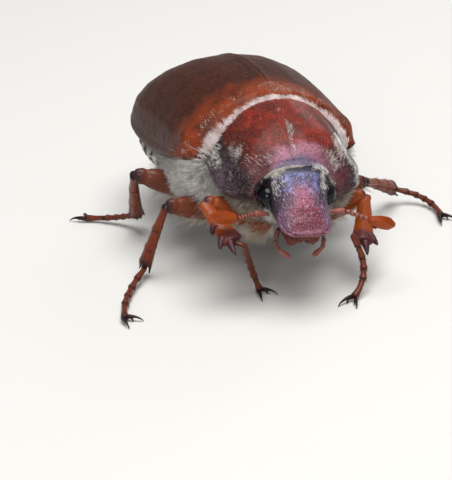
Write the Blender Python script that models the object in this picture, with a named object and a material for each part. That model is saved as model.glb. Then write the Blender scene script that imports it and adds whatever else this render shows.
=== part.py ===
# Cockchafer, life-size, standing on a flat surface.
# It faces -Y, +X is its left side and +Z is up. Sizes are in millimetres until the last step, which makes them metres.

import math

import bmesh
import bpy
from mathutils import Matrix, Vector

MM = 0.001
GAP = 0.3  # clearance between neighbouring pieces

# Driving dimensions of the body, along its own axis
ELYTRON_LENGTH = 16.6
ELYTRON_HALF_WIDTH = 6.3
ELYTRON_THICKNESS = 0.6
BODY_TOP = 9.15  # highest point above the belly
PRONOTUM_LENGTH = 5.3
PRONOTUM_HALF_WIDTH = 4.75
WAIST_Y = 0.0  # where the pronotum meets the elytra
ABDOMEN_START = 6.3
ABDOMEN_END = 15.4
PYGIDIUM_END = 20.2
RIB_HEIGHT = 0.16

# Stance: the body is carried clear of the ground and leans to its left
BODY_LIFT = 2.5
BODY_ROLL = math.radians(7.4)
HEAD_PITCH = math.radians(38)
HEAD_TURN = math.radians(-4)

RED_BROWN = (0.26, 0.055, 0.025, 1)
DARK_BROWN = (0.10, 0.03, 0.02, 1)
ORANGE_BROWN = (0.45, 0.12, 0.03, 1)
PALE_FUR = (0.42, 0.38, 0.32, 1)
BLACK = (0.01, 0.01, 0.012, 1)
DARK_CLAW = (0.06, 0.02, 0.02, 1)


def along(profile, s):
    # Value at s of a smooth curve through the (position, value) pairs of a profile.
    if s <= profile[0][0]:
        return profile[0][1]
    if s >= profile[-1][0]:
        return profile[-1][1]
    last = len(profile) - 1
    i = max(k for k in range(last) if profile[k][0] <= s)

    def slope(k):
        a, b = profile[max(k - 1, 0)], profile[min(k + 1, last)]
        return (b[1] - a[1]) / (b[0] - a[0])

    (x0, y0), (x1, y1) = profile[i], profile[i + 1]
    h = x1 - x0
    u = (s - x0) / h
    return (
        (2 * u**3 - 3 * u**2 + 1) * y0
        + (u**3 - 2 * u**2 + u) * h * slope(i)
        + (3 * u**2 - 2 * u**3) * y1
        + (u**3 - u**2) * h * slope(i + 1)
    )


def rounded(angle, squareness):
    # Cosine and sine of a superellipse, which is a circle where squareness is 2.
    power = 2 / squareness
    c, s = math.cos(angle), math.sin(angle)
    return math.copysign(abs(c) ** power, c), math.copysign(abs(s) ** power, s)


def belled(share, drop, bulge):
    # Height and width along an arch, share 0 at its top and 1 or -1 at its feet; a drop above 1 makes it bell-shaped.
    turn = share * math.pi / 2
    return max(0.0, math.cos(turn)) ** drop, math.copysign(abs(math.sin(turn)) ** bulge, share)


def material(name, colour, roughness, metallic=0.0):
    made = bpy.data.materials.get(name)
    if made is None:
        made = bpy.data.materials.new(name)
        made.use_nodes = True
        shader = made.node_tree.nodes["Principled BSDF"]
        shader.inputs["Base Color"].default_value = colour
        shader.inputs["Roughness"].default_value = roughness
        shader.inputs["Metallic"].default_value = metallic
    return made


def mesh_object(name, points, faces):
    mesh = bpy.data.meshes.new(name)
    mesh.from_pydata([tuple(p) for p in points], [], faces)
    work = bmesh.new()
    work.from_mesh(mesh)
    bmesh.ops.recalc_face_normals(work, faces=work.faces)
    work.to_mesh(mesh)
    work.free()
    made = bpy.data.objects.new(name, mesh)
    bpy.context.scene.collection.objects.link(made)
    return made


def rings_object(name, rings):
    # A closed body through rings of the same number of points, with a cap on each end.
    count = len(rings[0])
    points = [p for ring in rings for p in ring]
    faces = [tuple(reversed(range(count)))]
    for r in range(len(rings) - 1):
        for k in range(count):
            a, b = r * count + k, r * count + (k + 1) % count
            faces.append((a, b, b + count, a + count))
    start = (len(rings) - 1) * count
    faces.append(tuple(range(start, start + count)))
    return mesh_object(name, points, faces)


def ellipsoid(name, centre, radii, sides=14, levels=9, grow=0.0):
    rings = []
    for level in range(1, levels):
        tilt = math.pi * level / levels
        ring = []
        for k in range(sides):
            turn = 2 * math.pi * k / sides
            out = Vector(
                (
                    math.sin(tilt) * math.cos(turn) * (radii[0] + grow),
                    math.sin(tilt) * math.sin(turn) * (radii[1] + grow),
                    math.cos(tilt) * (radii[2] + grow),
                )
            )
            ring.append(Vector(centre) + out)
        rings.append(ring)
    return rings_object(name, rings)


def tube(name, path, widths, depths, sides=8, flat_side=(0, 0, 1), grow=0.0):
    # A limb along a path. Its section is an ellipse, with its depth along flat_side as far as that is square to the path.
    rings = []
    for i, here in enumerate(path):
        ahead = (path[min(i + 1, len(path) - 1)] - path[max(i - 1, 0)]).normalized()
        side = ahead.cross(Vector(flat_side)).normalized()
        up = side.cross(ahead)
        lengthen = 0.0
        if grow and i in (0, len(path) - 1):
            lengthen = grow if i else -grow
        ring = []
        for k in range(sides):
            turn = 2 * math.pi * (k + 0.5) / sides
            ring.append(
                here
                + ahead * lengthen
                + side * (math.cos(turn) * (widths[i] + grow))
                + up * (math.sin(turn) * (depths[i] + grow))
            )
        rings.append(ring)
    return rings_object(name, rings)


def bezier(points, u):
    a, b, c = points
    return a * (1 - u) ** 2 + b * (2 * u * (1 - u)) + c * u**2


def apply_modifiers(obj):
    graph = bpy.context.evaluated_depsgraph_get()
    mesh = bpy.data.meshes.new_from_object(obj.evaluated_get(graph))
    obj.modifiers.clear()
    old, obj.data = obj.data, mesh
    bpy.data.meshes.remove(old)


def keep_largest(obj):
    # Drops loose scraps and sealed hollows: the node stays one closed surface.
    work = bmesh.new()
    work.from_mesh(obj.data)
    left, shells = set(work.faces), []
    while left:
        reach = [left.pop()]
        shell = set(reach)
        while reach:
            for edge in reach.pop().edges:
                for face in edge.link_faces:
                    if face in left:
                        left.remove(face)
                        shell.add(face)
                        reach.append(face)
        shells.append(shell)
    shells.sort(key=lambda shell: sum(f.calc_area() for f in shell))
    for shell in shells[:-1]:
        bmesh.ops.delete(work, geom=list(shell), context="FACES")
    work.to_mesh(obj.data)
    work.free()


def combine(obj, others, operation):
    # Joins closed pieces to a node, or cuts them from it, and removes them.
    bpy.context.view_layer.update()
    group = bpy.data.collections.new(obj.name + "_pieces")
    bpy.context.scene.collection.children.link(group)
    for other in others:
        group.objects.link(other)
    change = obj.modifiers.new(operation.lower(), "BOOLEAN")
    change.operation = operation
    change.operand_type = "COLLECTION"
    change.collection = group
    change.solver = "MANIFOLD"
    apply_modifiers(obj)
    for other in others:
        bpy.data.objects.remove(other)
    bpy.data.collections.remove(group)
    keep_largest(obj)
    return obj


def flatten_feet(obj):
    # Cuts away what reaches below the ground, which leaves small flats to stand on.
    work = bmesh.new()
    work.from_mesh(obj.data)
    cut = bmesh.ops.bisect_plane(
        work,
        geom=work.verts[:] + work.edges[:] + work.faces[:],
        plane_co=(0, 0, 0),
        plane_no=(0, 0, -1),
        clear_outer=True,
    )
    rim = [e for e in cut["geom_cut"] if isinstance(e, bmesh.types.BMEdge)]
    if rim:
        bmesh.ops.holes_fill(work, edges=rim)
    bmesh.ops.recalc_face_normals(work, faces=work.faces)
    work.to_mesh(obj.data)
    work.free()


def finish(obj, name, look):
    obj.name = name
    obj.data.name = name
    obj.data.materials.clear()
    obj.data.materials.append(look)
    obj.data.shade_smooth()
    obj.data.set_sharp_from_angle(angle=math.radians(40))
    return obj


# Body frame to standing frame
STAND = Matrix.Translation((0, 0, BODY_LIFT)) @ Matrix.Rotation(BODY_ROLL, 4, "Y")
NECK = Vector((-0.25, -5.0, 4.4))
HEAD_POSE = (
    STAND
    @ Matrix.Translation(NECK)
    @ Matrix.Rotation(HEAD_TURN, 4, "Z")
    @ Matrix.Rotation(HEAD_PITCH, 4, "X")
)

# Elytra: half width, top and side margin along the length, from base (0) to apex (1)
ELYTRON_WIDTHS = [
    (0, 0.82), (0.04, 0.91), (0.1, 0.955), (0.2, 0.965), (0.35, 0.975), (0.6, 1.0),
    (0.75, 0.975), (0.87, 0.85), (0.95, 0.63), (1.0, 0.36),
]
ELYTRON_TOPS = [
    (0, 8.75), (0.08, 9.0), (0.2, BODY_TOP), (0.35, 9.1), (0.5, 8.8), (0.65, 8.2),
    (0.8, 7.1), (0.92, 5.7), (1.0, 4.7),
]
ELYTRON_MARGINS = [
    (0, 5.1), (0.08, 4.7), (0.2, 4.1), (0.4, 3.35), (0.6, 3.1), (0.8, 3.3), (0.92, 3.7), (1.0, 3.9),
]
# Shape of the arch: bell-shaped at the base, round further back
ELYTRON_DROPS = [(0, 1.75), (0.08, 1.45), (0.2, 1.15), (0.4, 0.98), (1.0, 0.95)]
ELYTRON_BULGE = 0.95
ELYTRON_BASE = WAIST_Y + GAP + 0.1
ELYTRON_STATIONS = [0, 0.03, 0.08, 0.16, 0.26, 0.36, 0.46, 0.56, 0.66, 0.75, 0.83, 0.9, 0.95, 0.985, 1.0]
RIBS = [0.2, 0.4, 0.59, 0.77]
RIB_HALF = 0.035
EDGE_DROP = 0.3  # how far the front edge is rolled down


def elytron_share(y):
    return (y - ELYTRON_BASE) / ELYTRON_LENGTH


def elytron_outline(s):
    return (
        along(ELYTRON_WIDTHS, s) * ELYTRON_HALF_WIDTH,
        along(ELYTRON_TOPS, s),
        along(ELYTRON_MARGINS, s),
    )


def elytron_point(s, t, lift=0.0):
    # s runs from base to apex, t from the suture to the side margin; lift raises a point off the smooth shell.
    half, top, margin = elytron_outline(s)
    c, w = belled(t, along(ELYTRON_DROPS, s), ELYTRON_BULGE)
    point = Vector((GAP / 2 + (half - GAP / 2) * w, ELYTRON_BASE + s * ELYTRON_LENGTH, margin + (top - margin) * c))
    if lift:
        step = 0.01
        across = elytron_point(s, min(t + step, 1)) - elytron_point(s, max(t - step, 0))
        forward = elytron_point(min(s + step, 1), t) - elytron_point(max(s - step, 0), t)
        point += across.cross(forward).normalized() * lift
    return point


def elytron(side):
    steps = [(0.0, 0.6), (0.05, 0.0)]
    for rib in RIBS:
        steps += [(rib - RIB_HALF, 0.0), (rib, 1.0), (rib + RIB_HALF, 0.0)]
    steps += [(0.92, 0.0), (1.0, 0.0)]
    outer, inner = [], []
    for s in ELYTRON_STATIONS:
        fade = min(1.0, s / 0.12, (1 - s) / 0.15)
        rolled = EDGE_DROP if s == 0 else 0.0
        row = [elytron_point(s, t, RIB_HEIGHT * ridge * fade - rolled) for t, ridge in steps]
        under = [elytron_point(s, t, -ELYTRON_THICKNESS) for t, _ in steps]
        # The last row turns down and in, as the rolled edge does
        tuck = Vector((-0.12, 0, -0.3)) * min(1.0, (1 - s) / 0.1)
        row.append(row[-1] + tuck)
        under.append(under[-1] + tuck * 1.05)
        for p in under:
            p.x = max(p.x, GAP / 2)
        outer.append(row)
        inner.append(under)
    rows, columns = len(outer), len(outer[0])
    points = [p for row in outer for p in row] + [p for row in inner for p in row]
    shift = rows * columns

    def at(r, c, layer):
        return layer * shift + r * columns + c

    faces = []
    for layer in (0, 1):
        for r in range(rows - 1):
            for c in range(columns - 1):
                corner = [at(r, c, layer), at(r, c + 1, layer), at(r + 1, c + 1, layer), at(r + 1, c, layer)]
                faces += [(corner[0], corner[1], corner[2]), (corner[0], corner[2], corner[3])]
    for r in range(rows - 1):
        for c in (0, columns - 1):
            faces.append((at(r, c, 0), at(r + 1, c, 0), at(r + 1, c, 1), at(r, c, 1)))
    for c in range(columns - 1):
        for r in (0, rows - 1):
            faces.append((at(r, c, 0), at(r, c + 1, 0), at(r, c + 1, 1), at(r, c, 1)))
    for p in points:
        p.x *= side
    made = mesh_object("elytron", points, faces)
    made.data.transform(STAND)
    return made


# Trunk under the elytra, from the thorax to the end of the abdomen
BELLY = [(0.0, 1.1), (1.0, 0.35), (3.0, 0.1), (6.0, 0.2), (10.0, 0.35), (13.0, 0.8), (15.4, 1.7)]
TRUNK_UPPER = 12
TRUNK_LOWER = 12
SEGMENT_GROOVE = 0.12
SEGMENTS = 6


def trunk_ring(y, shrink=0.0):
    half, top, margin = elytron_outline(elytron_share(y))
    # The trunk draws in where the wing cases curve down, at their base and towards their tips
    under = ELYTRON_THICKNESS + GAP + 0.15 + 0.5 * max(0.0, (y - 11.0) / 4.4) + 0.2 * max(0.0, 1.5 - y)
    ring = []
    for k in range(TRUNK_UPPER + 1):
        c, w = belled(2 * k / TRUNK_UPPER - 1, along(ELYTRON_DROPS, elytron_share(y)), ELYTRON_BULGE)
        ring.append(Vector(((half - under) * w, y, margin + (top - under - margin) * c)))
    side_half, side_top, belly = half - max(0.6, under - 0.6) - shrink, margin - 1.1, along(BELLY, y) + shrink
    for k in range(TRUNK_LOWER + 1):
        c, w = rounded(math.pi * k / TRUNK_LOWER, 2.3)
        ring.append(Vector((side_half * c, y, side_top - (side_top - belly) * w)))
    return ring


def thorax():
    ys = [GAP + 0.1, 0.9, 2.0, 3.2, 4.4, 5.4, ABDOMEN_START - GAP]
    made = rings_object("thorax", [trunk_ring(y) for y in ys])
    made.data.transform(STAND)
    return made


def abdomen():
    # Each ring segment ends in a shallow groove before the next one
    rings = []
    step = (ABDOMEN_END - ABDOMEN_START) / SEGMENTS
    for n in range(SEGMENTS):
        start = ABDOMEN_START + n * step
        rings.append(trunk_ring(start, SEGMENT_GROOVE if n else 0.0))
        rings.append(trunk_ring(start + 0.25 * step))
        rings.append(trunk_ring(start + 0.9 * step))
    rings.append(trunk_ring(ABDOMEN_END, SEGMENT_GROOVE))
    made = rings_object("abdomen", rings)
    made.data.transform(STAND)
    return made


def pygidium():
    # Half width, top and underside of the tail plate along the body
    start = ABDOMEN_END + GAP
    widths = [(start, 3.9), (17.0, 3.1), (18.4, 1.75), (19.5, 0.85), (PYGIDIUM_END, 0.45)]
    tops = [(start, 3.3), (16.9, 3.15), (18.4, 2.3), (19.5, 1.2), (PYGIDIUM_END, 0.75)]
    bottoms = [(start, 1.75), (17.0, 1.0), (18.4, 0.5), (19.5, 0.3), (PYGIDIUM_END, 0.25)]
    rings = []
    for y in (start, 16.3, 16.9, 17.6, 18.3, 19.0, 19.6, PYGIDIUM_END):
        half, top, bottom = along(widths, y), along(tops, y), along(bottoms, y)
        middle, tall = (top + bottom) / 2, (top - bottom) / 2
        ring = []
        for k in range(16):
            c, w = rounded(2 * math.pi * k / 16, 2.4)
            ring.append(Vector((half * c, y, middle + tall * w)))
        rings.append(ring)
    made = rings_object("pygidium", rings)
    made.data.transform(STAND)
    return made


# Pronotum: half width, top, margin height along the length, from front to rear
PRONOTUM_FRONT = WAIST_Y - PRONOTUM_LENGTH
PRONOTUM_WIDTHS = [(-5.3, 0.55), (-4.95, 0.71), (-4.4, 0.83), (-3.4, 0.935), (-2.2, 0.97), (-1.2, 0.965), (0, 0.995)]
PRONOTUM_TOPS = [(-5.3, 6.0), (-4.4, 6.95), (-3.2, 7.8), (-1.8, 8.4), (-0.7, 8.7), (0, 8.72)]
PRONOTUM_MARGINS = [(-5.3, 4.4), (-4.6, 4.2), (-3.4, 4.05), (-1.8, 4.35), (-0.7, 4.9), (0, 5.3)]
PRONOTUM_DROPS = [(-5.3, 0.92), (-4.4, 1.0), (-3.0, 1.2), (-1.5, 1.5), (0, 1.75)]
PRONOTUM_BULGE = 0.95
FRONT_TWIST = 0.35  # how far the front edge is drawn to the right and its left end lowered
MARGIN_LIP = 0.5  # thickness of the shield's side edge
PROSTERNUM_FLOORS = [(-5.3, 2.5), (-4.0, 1.7), (-2.5, 1.2), (0, 1.2)]


def pronotum():
    rings = []
    arc = 18
    for y in (PRONOTUM_FRONT, -4.95, -4.4, -3.7, -2.9, -2.0, -1.2, -0.5, WAIST_Y):
        half = along(PRONOTUM_WIDTHS, y) * PRONOTUM_HALF_WIDTH
        top, margin = along(PRONOTUM_TOPS, y), along(PRONOTUM_MARGINS, y)
        twist = FRONT_TWIST * max(0.0, -4.3 - y) ** 2
        ring = []
        for k in range(arc + 1):
            c, w = belled(2 * k / arc - 1, along(PRONOTUM_DROPS, y), PRONOTUM_BULGE)
            # The hind edge bows forward between its middle and its corners
            bow = 0.0 if y < -0.6 else -0.7 * w * w * (1 - w * w) * (y + 0.6) / 0.6
            ring.append(Vector((half * w, y + bow, margin + (top - margin) * c)))
        for w, drop in ((0.97, 0.6), (0.8, 0.75), (-0.8, 0.75), (-0.97, 0.6)):
            ring.append(Vector((half * w, ring[arc].y, margin - MARGIN_LIP * drop)))
        for p in ring:
            p.z -= twist * max(0.0, p.x / half)
            p.x -= twist
        rings.append(ring)
    made = rings_object("pronotum", rings)
    made.data.transform(STAND)
    return made


def prosternum():
    rings = []
    for y in (PRONOTUM_FRONT + 0.15, -4.4, -3.6, -2.6, -1.6, -0.8, WAIST_Y):
        half = along(PRONOTUM_WIDTHS, y) * PRONOTUM_HALF_WIDTH * 0.9
        roof = along(PRONOTUM_MARGINS, y) - MARGIN_LIP * 0.75 - GAP
        floor = along(PROSTERNUM_FLOORS, y)
        ring = [Vector((half, y, roof)), Vector((-half, y, roof))]
        for k in range(1, 12):
            c, w = rounded(math.pi * k / 12, 1.9)
            ring.append(Vector((-half * c, y, roof - 0.2 - (roof - 0.2 - floor) * w)))
        rings.append(ring)
    made = rings_object("prosternum", rings)
    made.data.transform(STAND)
    return made


def scutellum(grow=0.0):
    # A small rounded shield between the bases of the elytra
    outline = [(-1.15, 0.3), (0, 0.3), (1.15, 0.3), (1.0, 1.0), (0.6, 1.6), (0, 1.95), (-0.6, 1.6), (-1.0, 1.0)]
    rings = []
    for lift in ((-1.4, -0.3, 0.05, 0.2) if not grow else (-1.9, 1.5)):
        shrink = 0.92 if lift > 0.1 and not grow else 1.0
        ring = []
        for x, y in outline:
            s = elytron_share(max(y, ELYTRON_BASE))
            top = elytron_outline(s)[1] - 0.07 * x * x
            out = Vector((x * shrink, (y - 0.9) * shrink + 0.9 + (0.02 if y == 0.3 else 0)))
            if grow:
                out += (out - Vector((0, 0.9))).normalized() * grow * 1.2
            ring.append(Vector((out.x, out.y, top + lift)))
        rings.append(ring)
    made = rings_object("scutellum", rings)
    made.data.transform(STAND)
    return made


# Head, in its own frame: -Y runs down the face to the edge of the clypeus and +Z stands out from the face
# Each row: distance down the face, half width, face height, throat depth
HEAD_ROWS = [
    (-1.25, 1.85, 1.15, -1.3),
    (-0.9, 2.15, 1.4, -1.75),
    (-0.2, 2.2, 1.52, -2.0),
    (0.5, 2.0, 1.5, -1.95),
    (1.1, 1.75, 1.42, -1.6),
    (1.45, 1.72, 1.3, -1.1),
    (1.8, 1.76, 1.28, -0.6),
    (2.5, 1.76, 1.22, -0.05),
    (3.1, 1.66, 1.2, 0.35),
    (3.5, 1.46, 1.24, 0.55),
    (3.72, 1.2, 1.22, 0.66),
    (3.82, 0.95, 1.08, 0.76),
]
EYE_CENTRE = Vector((1.95, -0.4, 0.1))
EYE_RADII = (0.62, 0.82, 0.78)


def head(grow=0.0):
    rings = []
    for down, half, face, throat in HEAD_ROWS:
        middle, tall = (face + throat) / 2, (face - throat) / 2
        ring = []
        for k in range(24):
            c, w = rounded(2 * math.pi * k / 24, 2.7)
            ring.append(Vector(((half + grow) * c, -down, middle + (tall + grow) * w)))
        rings.append(ring)
    if grow:
        for p in rings[0]:
            p.y += grow
    made = rings_object("head", rings)
    made.data.transform(HEAD_POSE)
    return made


def eye(side, grow=0.0):
    centre = Vector((EYE_CENTRE.x * side, EYE_CENTRE.y, EYE_CENTRE.z))
    made = ellipsoid("eye", centre, EYE_RADII, 12, 8, grow)
    made.data.transform(HEAD_POSE)
    return made


def head_room():
    # The socket that the head and its eyes are set in
    return [head(GAP), eye(1, GAP), eye(-1, GAP)]


def mouthparts():
    # Upper lip, jaws and inner jaws, seen as brown lobes below the edge of the clypeus
    pieces = []
    for side in (-1, 1):
        pieces.append(ellipsoid("jaw", (0.58 * side, -2.75, -0.75), (0.45, 0.75, 0.5), 10, 6))
        pieces.append(ellipsoid("lobe", (0.5 * side, -3.2, -0.2), (0.48, 0.42, 0.4), 10, 6))
    base = ellipsoid("base", (0, -2.3, -0.85), (0.95, 0.8, 0.5), 12, 6)
    made = combine(base, pieces, "UNION")
    made.data.transform(HEAD_POSE)
    return combine(made, [head(GAP * 0.8)], "DIFFERENCE")


PALP_POINTS = [(1.5, -2.35, -0.95), (1.52, -2.85, -1.15), (1.44, -3.3, -1.35), (1.12, -3.65, -1.45), (0.68, -3.92, -1.5)]


def palp(side):
    path = [Vector(p) for p in PALP_POINTS]
    for p in path:
        p.x *= side
    radii = [0.2, 0.21, 0.22, 0.21, 0.14]
    made = tube("palp", path, radii, radii, 7)
    made.data.transform(HEAD_POSE)
    return made


# Root, bend and end of the stalk and tip of the club, left (1) and right (-1)
ANTENNAE = {
    1: [(2.15, -1.4, -0.45), (3.0, -1.48, -0.4), (4.3, -2.1, -0.45), (6.1, -2.55, -0.7)],
    -1: [(-2.1, -1.35, -0.45), (-2.8, -1.4, -0.3), (-3.75, -1.6, -0.4), (-5.5, -1.25, -0.6)],
}


def antenna_stalk(side):
    # The long first joint, then a string of short ones
    root, bend, neck, _ = [Vector(p) for p in ANTENNAE[side]]
    path, radii = [], []
    for share, radius in ((0.0, 0.25), (0.15, 0.27), (0.75, 0.33), (1.0, 0.27)):
        path.append(root.lerp(bend, share))
        radii.append(radius)
    for bead in range(4):
        for share, radius in ((0.35, 0.29), (0.85, 0.25)):
            path.append(bend.lerp(neck, (bead + share) / 4))
            radii.append(radius)
    made = tube("stalk", path, radii, radii, 7)
    made.data.transform(HEAD_POSE)
    return made


def antenna_club(side):
    # The closed fan: its leaves show as grooves along it
    neck, tip = [Vector(p) for p in ANTENNAE[side][2:]]
    start = neck + (tip - neck).normalized() * GAP * 0.9
    rings = []
    ahead = (tip - start).normalized()
    across = ahead.cross(Vector((0, 0, 1))).normalized()
    up = across.cross(ahead)
    leaves = 6
    sides = leaves * 2
    for share, size in ((0, 0.45), (0.12, 0.75), (0.4, 0.95), (0.7, 1.0), (0.9, 0.85), (1.0, 0.5)):
        centre = start.lerp(tip, share)
        ring = []
        for k in range(sides):
            turn = 2 * math.pi * (k + 0.5) / sides
            groove = 0.9 if k % 2 else 1.0
            ring.append(
                centre + across * (math.cos(turn) * 0.36 * size * groove) + up * (math.sin(turn) * 0.5 * size * groove)
            )
        rings.append(ring)
    made = rings_object("club", rings)
    made.data.transform(HEAD_POSE)
    return made


# Legs: hip, knee and ankle over the ground, where the foot starts, the pull of its curve and where it ends
LEGS = {
    "front_right": {
        "hip": (-1.65, -3.0, 4.5), "knee": (-4.95, -2.8, 6.3), "ankle": (-4.15, -5.8, 4.65),
        "start": (-3.55, -6.1, 4.45), "pull": (-2.6, -3.5, 1.5), "foot": (-2.3, -4.2), "claws": (0.4, -1.0),
    },
    "front_left": {
        "hip": (2.1, -3.0, 4.0), "knee": (5.6, -2.2, 4.3), "ankle": (4.05, -5.5, 2.65),
        "start": (3.45, -5.9, 3.5), "pull": (4.4, -6.9, 1.2), "foot": (2.55, -7.9), "claws": (-0.8, -0.9),
    },
    "middle_right": {
        "hip": (-2.25, 1.7, 3.5), "knee": (-6.6, 0.6, 5.1), "ankle": (-8.2, 1.6, 1.0),
        "start": (-8.4, 1.3, 0.75), "pull": (-10.7, -1.4, 0.3), "foot": (-11.0, -4.0), "claws": (0.6, -1.0),
    },
    "middle_left": {
        "hip": (2.5, 1.7, 3.4), "knee": (7.1, 1.7, 3.5), "ankle": (10.0, 4.8, 1.3),
        "start": (10.4, 4.75, 1.1), "pull": (12.6, 4.1, 0.4), "foot": (12.0, 1.0), "claws": (0.2, -1.0),
    },
    "hind_right": {
        "hip": (-2.45, 5.0, 3.4), "knee": (-7.4, 5.6, 5.6), "ankle": (-6.9, 8.9, 1.5),
        "start": (-7.0, 9.3, 1.2), "pull": (-7.6, 11.0, 0.4), "foot": (-9.8, 12.6), "claws": (-0.5, 1.0),
    },
    "hind_left": {
        "hip": (2.7, 5.0, 3.2), "knee": (6.9, 6.8, 3.9), "ankle": (7.2, 11.0, 1.3),
        "start": (7.35, 11.4, 1.1), "pull": (7.9, 13.0, 0.4), "foot": (9.3, 14.6), "claws": (0.5, 1.0),
    },
}
FEMUR_SIZES = {"front": 0.82, "middle": 0.85, "hind": 0.95}  # largest half width
TIBIA_SIZES = {"front": 0.7, "middle": 0.52, "hind": 0.58}  # half width at the far end
COXA_RADII = (0.95, 1.0, 0.95)
FEMUR_SHAPE = [(0, 0.7), (0.12, 0.75), (0.35, 1.0), (0.65, 0.95), (0.85, 0.7), (1.0, 0.5)]
TIBIA_SHAPE = [(0, 0.62), (0.08, 0.75), (0.3, 0.72), (0.6, 0.85), (0.88, 1.0), (1.0, 0.9)]
SPUR_RADIUS = 0.26
TARSUS_RADIUS = 0.27
TARSUS_JOINTS = 5
LAST_JOINT_SHARE = 0.34
CLAW_RADII = [0.22, 0.2, 0.17, 0.07]
SOLE_DEPTH = 0.04  # how far the flared joints would sink before the flats are cut


def leg_part(name):
    return name.split("_")[0]


def femur(name, grow=0.0):
    leg = LEGS[name]
    hip, knee = Vector(leg["hip"]), Vector(leg["knee"])
    ahead = (knee - hip).normalized()
    end = knee - ahead * GAP / 2
    size = FEMUR_SIZES[leg_part(name)]
    path = [hip.lerp(end, s) for s, _ in FEMUR_SHAPE]
    widths = [size * w for _, w in FEMUR_SHAPE]
    thigh = tube("thigh", path, widths, [0.72 * w for w in widths], 9, (0, 1, 0), grow)
    coxa = ellipsoid("coxa", hip, COXA_RADII, 10, 7, grow)
    return combine(thigh, [coxa], "UNION")


def cone(name, root, tip, radius, grow=0.0):
    path = [root, root.lerp(tip, 0.5), tip]
    radii = [radius, radius * 0.72, radius * 0.25]
    return tube(name, path, radii, radii, 6, (0.1, 0.3, 1), grow)


def tibia(name, grow=0.0):
    leg = LEGS[name]
    knee, ankle = Vector(leg["knee"]), Vector(leg["ankle"])
    ahead = (ankle - knee).normalized()
    start, end = knee + ahead * GAP * 0.75, ankle
    size = TIBIA_SIZES[leg_part(name)]
    path = [start.lerp(end, s) for s, _ in TIBIA_SHAPE]
    widths = [size * w for _, w in TIBIA_SHAPE]
    outward = Vector((math.copysign(1, knee.x), 0, 0))
    out = (outward - ahead * outward.dot(ahead)).normalized()
    # The front shin is a broad, flat blade, the others are nearly round
    flat_side, depth = (ahead.cross(out), 0.52) if leg_part(name) == "front" else (outward, 0.8)
    shin = tube("shin", path, widths, [depth * w for w in widths], 9, flat_side, grow)
    spurs = []
    if leg_part(name) == "front":
        # Two blunt digging teeth on the outer side and one at the end
        for share, reach in ((0.55, 0.55), (0.82, 0.85)):
            root = start.lerp(end, share) + out * size * 0.45
            tip = root + out * (0.3 + 0.4 * reach) + ahead * reach * 0.9
            spurs.append(cone("tooth", root, tip, 0.38, grow))
        spurs.append(cone("tooth", end - ahead * 0.3 + out * 0.1, end + ahead * 0.95 + out * 0.35, 0.36, grow))
    else:
        rear = ahead.cross(out).normalized()
        for turn in (-0.7, 0.9):
            lean = (out * math.cos(turn + 2.2) + rear * math.sin(turn + 2.2)) * size * 0.75
            root, tip = end - ahead * 0.3 + lean * 0.7, end + ahead * 0.75 + lean * 1.35
            spurs.append(cone("spur", root, tip, SPUR_RADIUS, grow))
        # Slanting ridges round the outside
        for share in (0.38, 0.7):
            middle = start.lerp(end, share)
            wide = along(TIBIA_SHAPE, share) * size
            ridge_path = [middle - ahead * 0.18, middle, middle + ahead * 0.16, middle + ahead * 0.2]
            ridge = [wide * 0.9, wide * 1.16, wide * 1.22, wide * 0.9]
            spurs.append(tube("ridge", ridge_path, ridge, [0.8 * r for r in ridge], 9, outward, grow))
    made = combine(shin, spurs, "UNION")
    return made if grow else combine(made, [femur(name, GAP * 0.8)], "DIFFERENCE")


def tarsus(name):
    leg = LEGS[name]
    foot = Vector((leg["foot"][0], leg["foot"][1], TARSUS_RADIUS - SOLE_DEPTH + 0.03))
    curve = (Vector(leg["start"]), Vector(leg["pull"]), foot)
    path, radii = [], []
    joint = (1 - LAST_JOINT_SHARE) / (TARSUS_JOINTS - 1)
    for n in range(TARSUS_JOINTS):
        long_one = n == TARSUS_JOINTS - 1
        base = n * joint
        size = LAST_JOINT_SHARE if long_one else joint
        shape = ((0.0, 0.86), (0.45, 0.9), (0.85, 1.12)) if long_one else ((0.0, 0.86), (0.6, 1.05), (0.88, 1.16))
        for share, swell in shape:
            path.append(bezier(curve, base + share * size))
            radii.append(TARSUS_RADIUS * swell)
    path.append(foot)
    radii.append(TARSUS_RADIUS * 0.9)
    toes = tube("toes", path, radii, radii, 8)
    claws = []
    out = Vector((*leg["claws"], 0)).normalized()
    across = Vector((-out.y, out.x, 0))
    for side in (-1, 1):
        root = foot - out * 0.15 + across * side * 0.05
        bow = foot + out * 0.5 + across * side * 0.42 + Vector((0, 0, 0.12))
        tip = foot + out * 0.95 + across * side * 0.62 + Vector((0, 0, -0.24))
        path = [root, root.lerp(bow, 0.5) + Vector((0, 0, 0.06)), bow, tip]
        claws.append(tube("claw", path, CLAW_RADII, CLAW_RADII, 6))
    made = combine(toes, claws, "UNION")
    combine(made, [tibia(name, GAP * 0.8)], "DIFFERENCE")
    flatten_feet(made)
    return made


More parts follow.
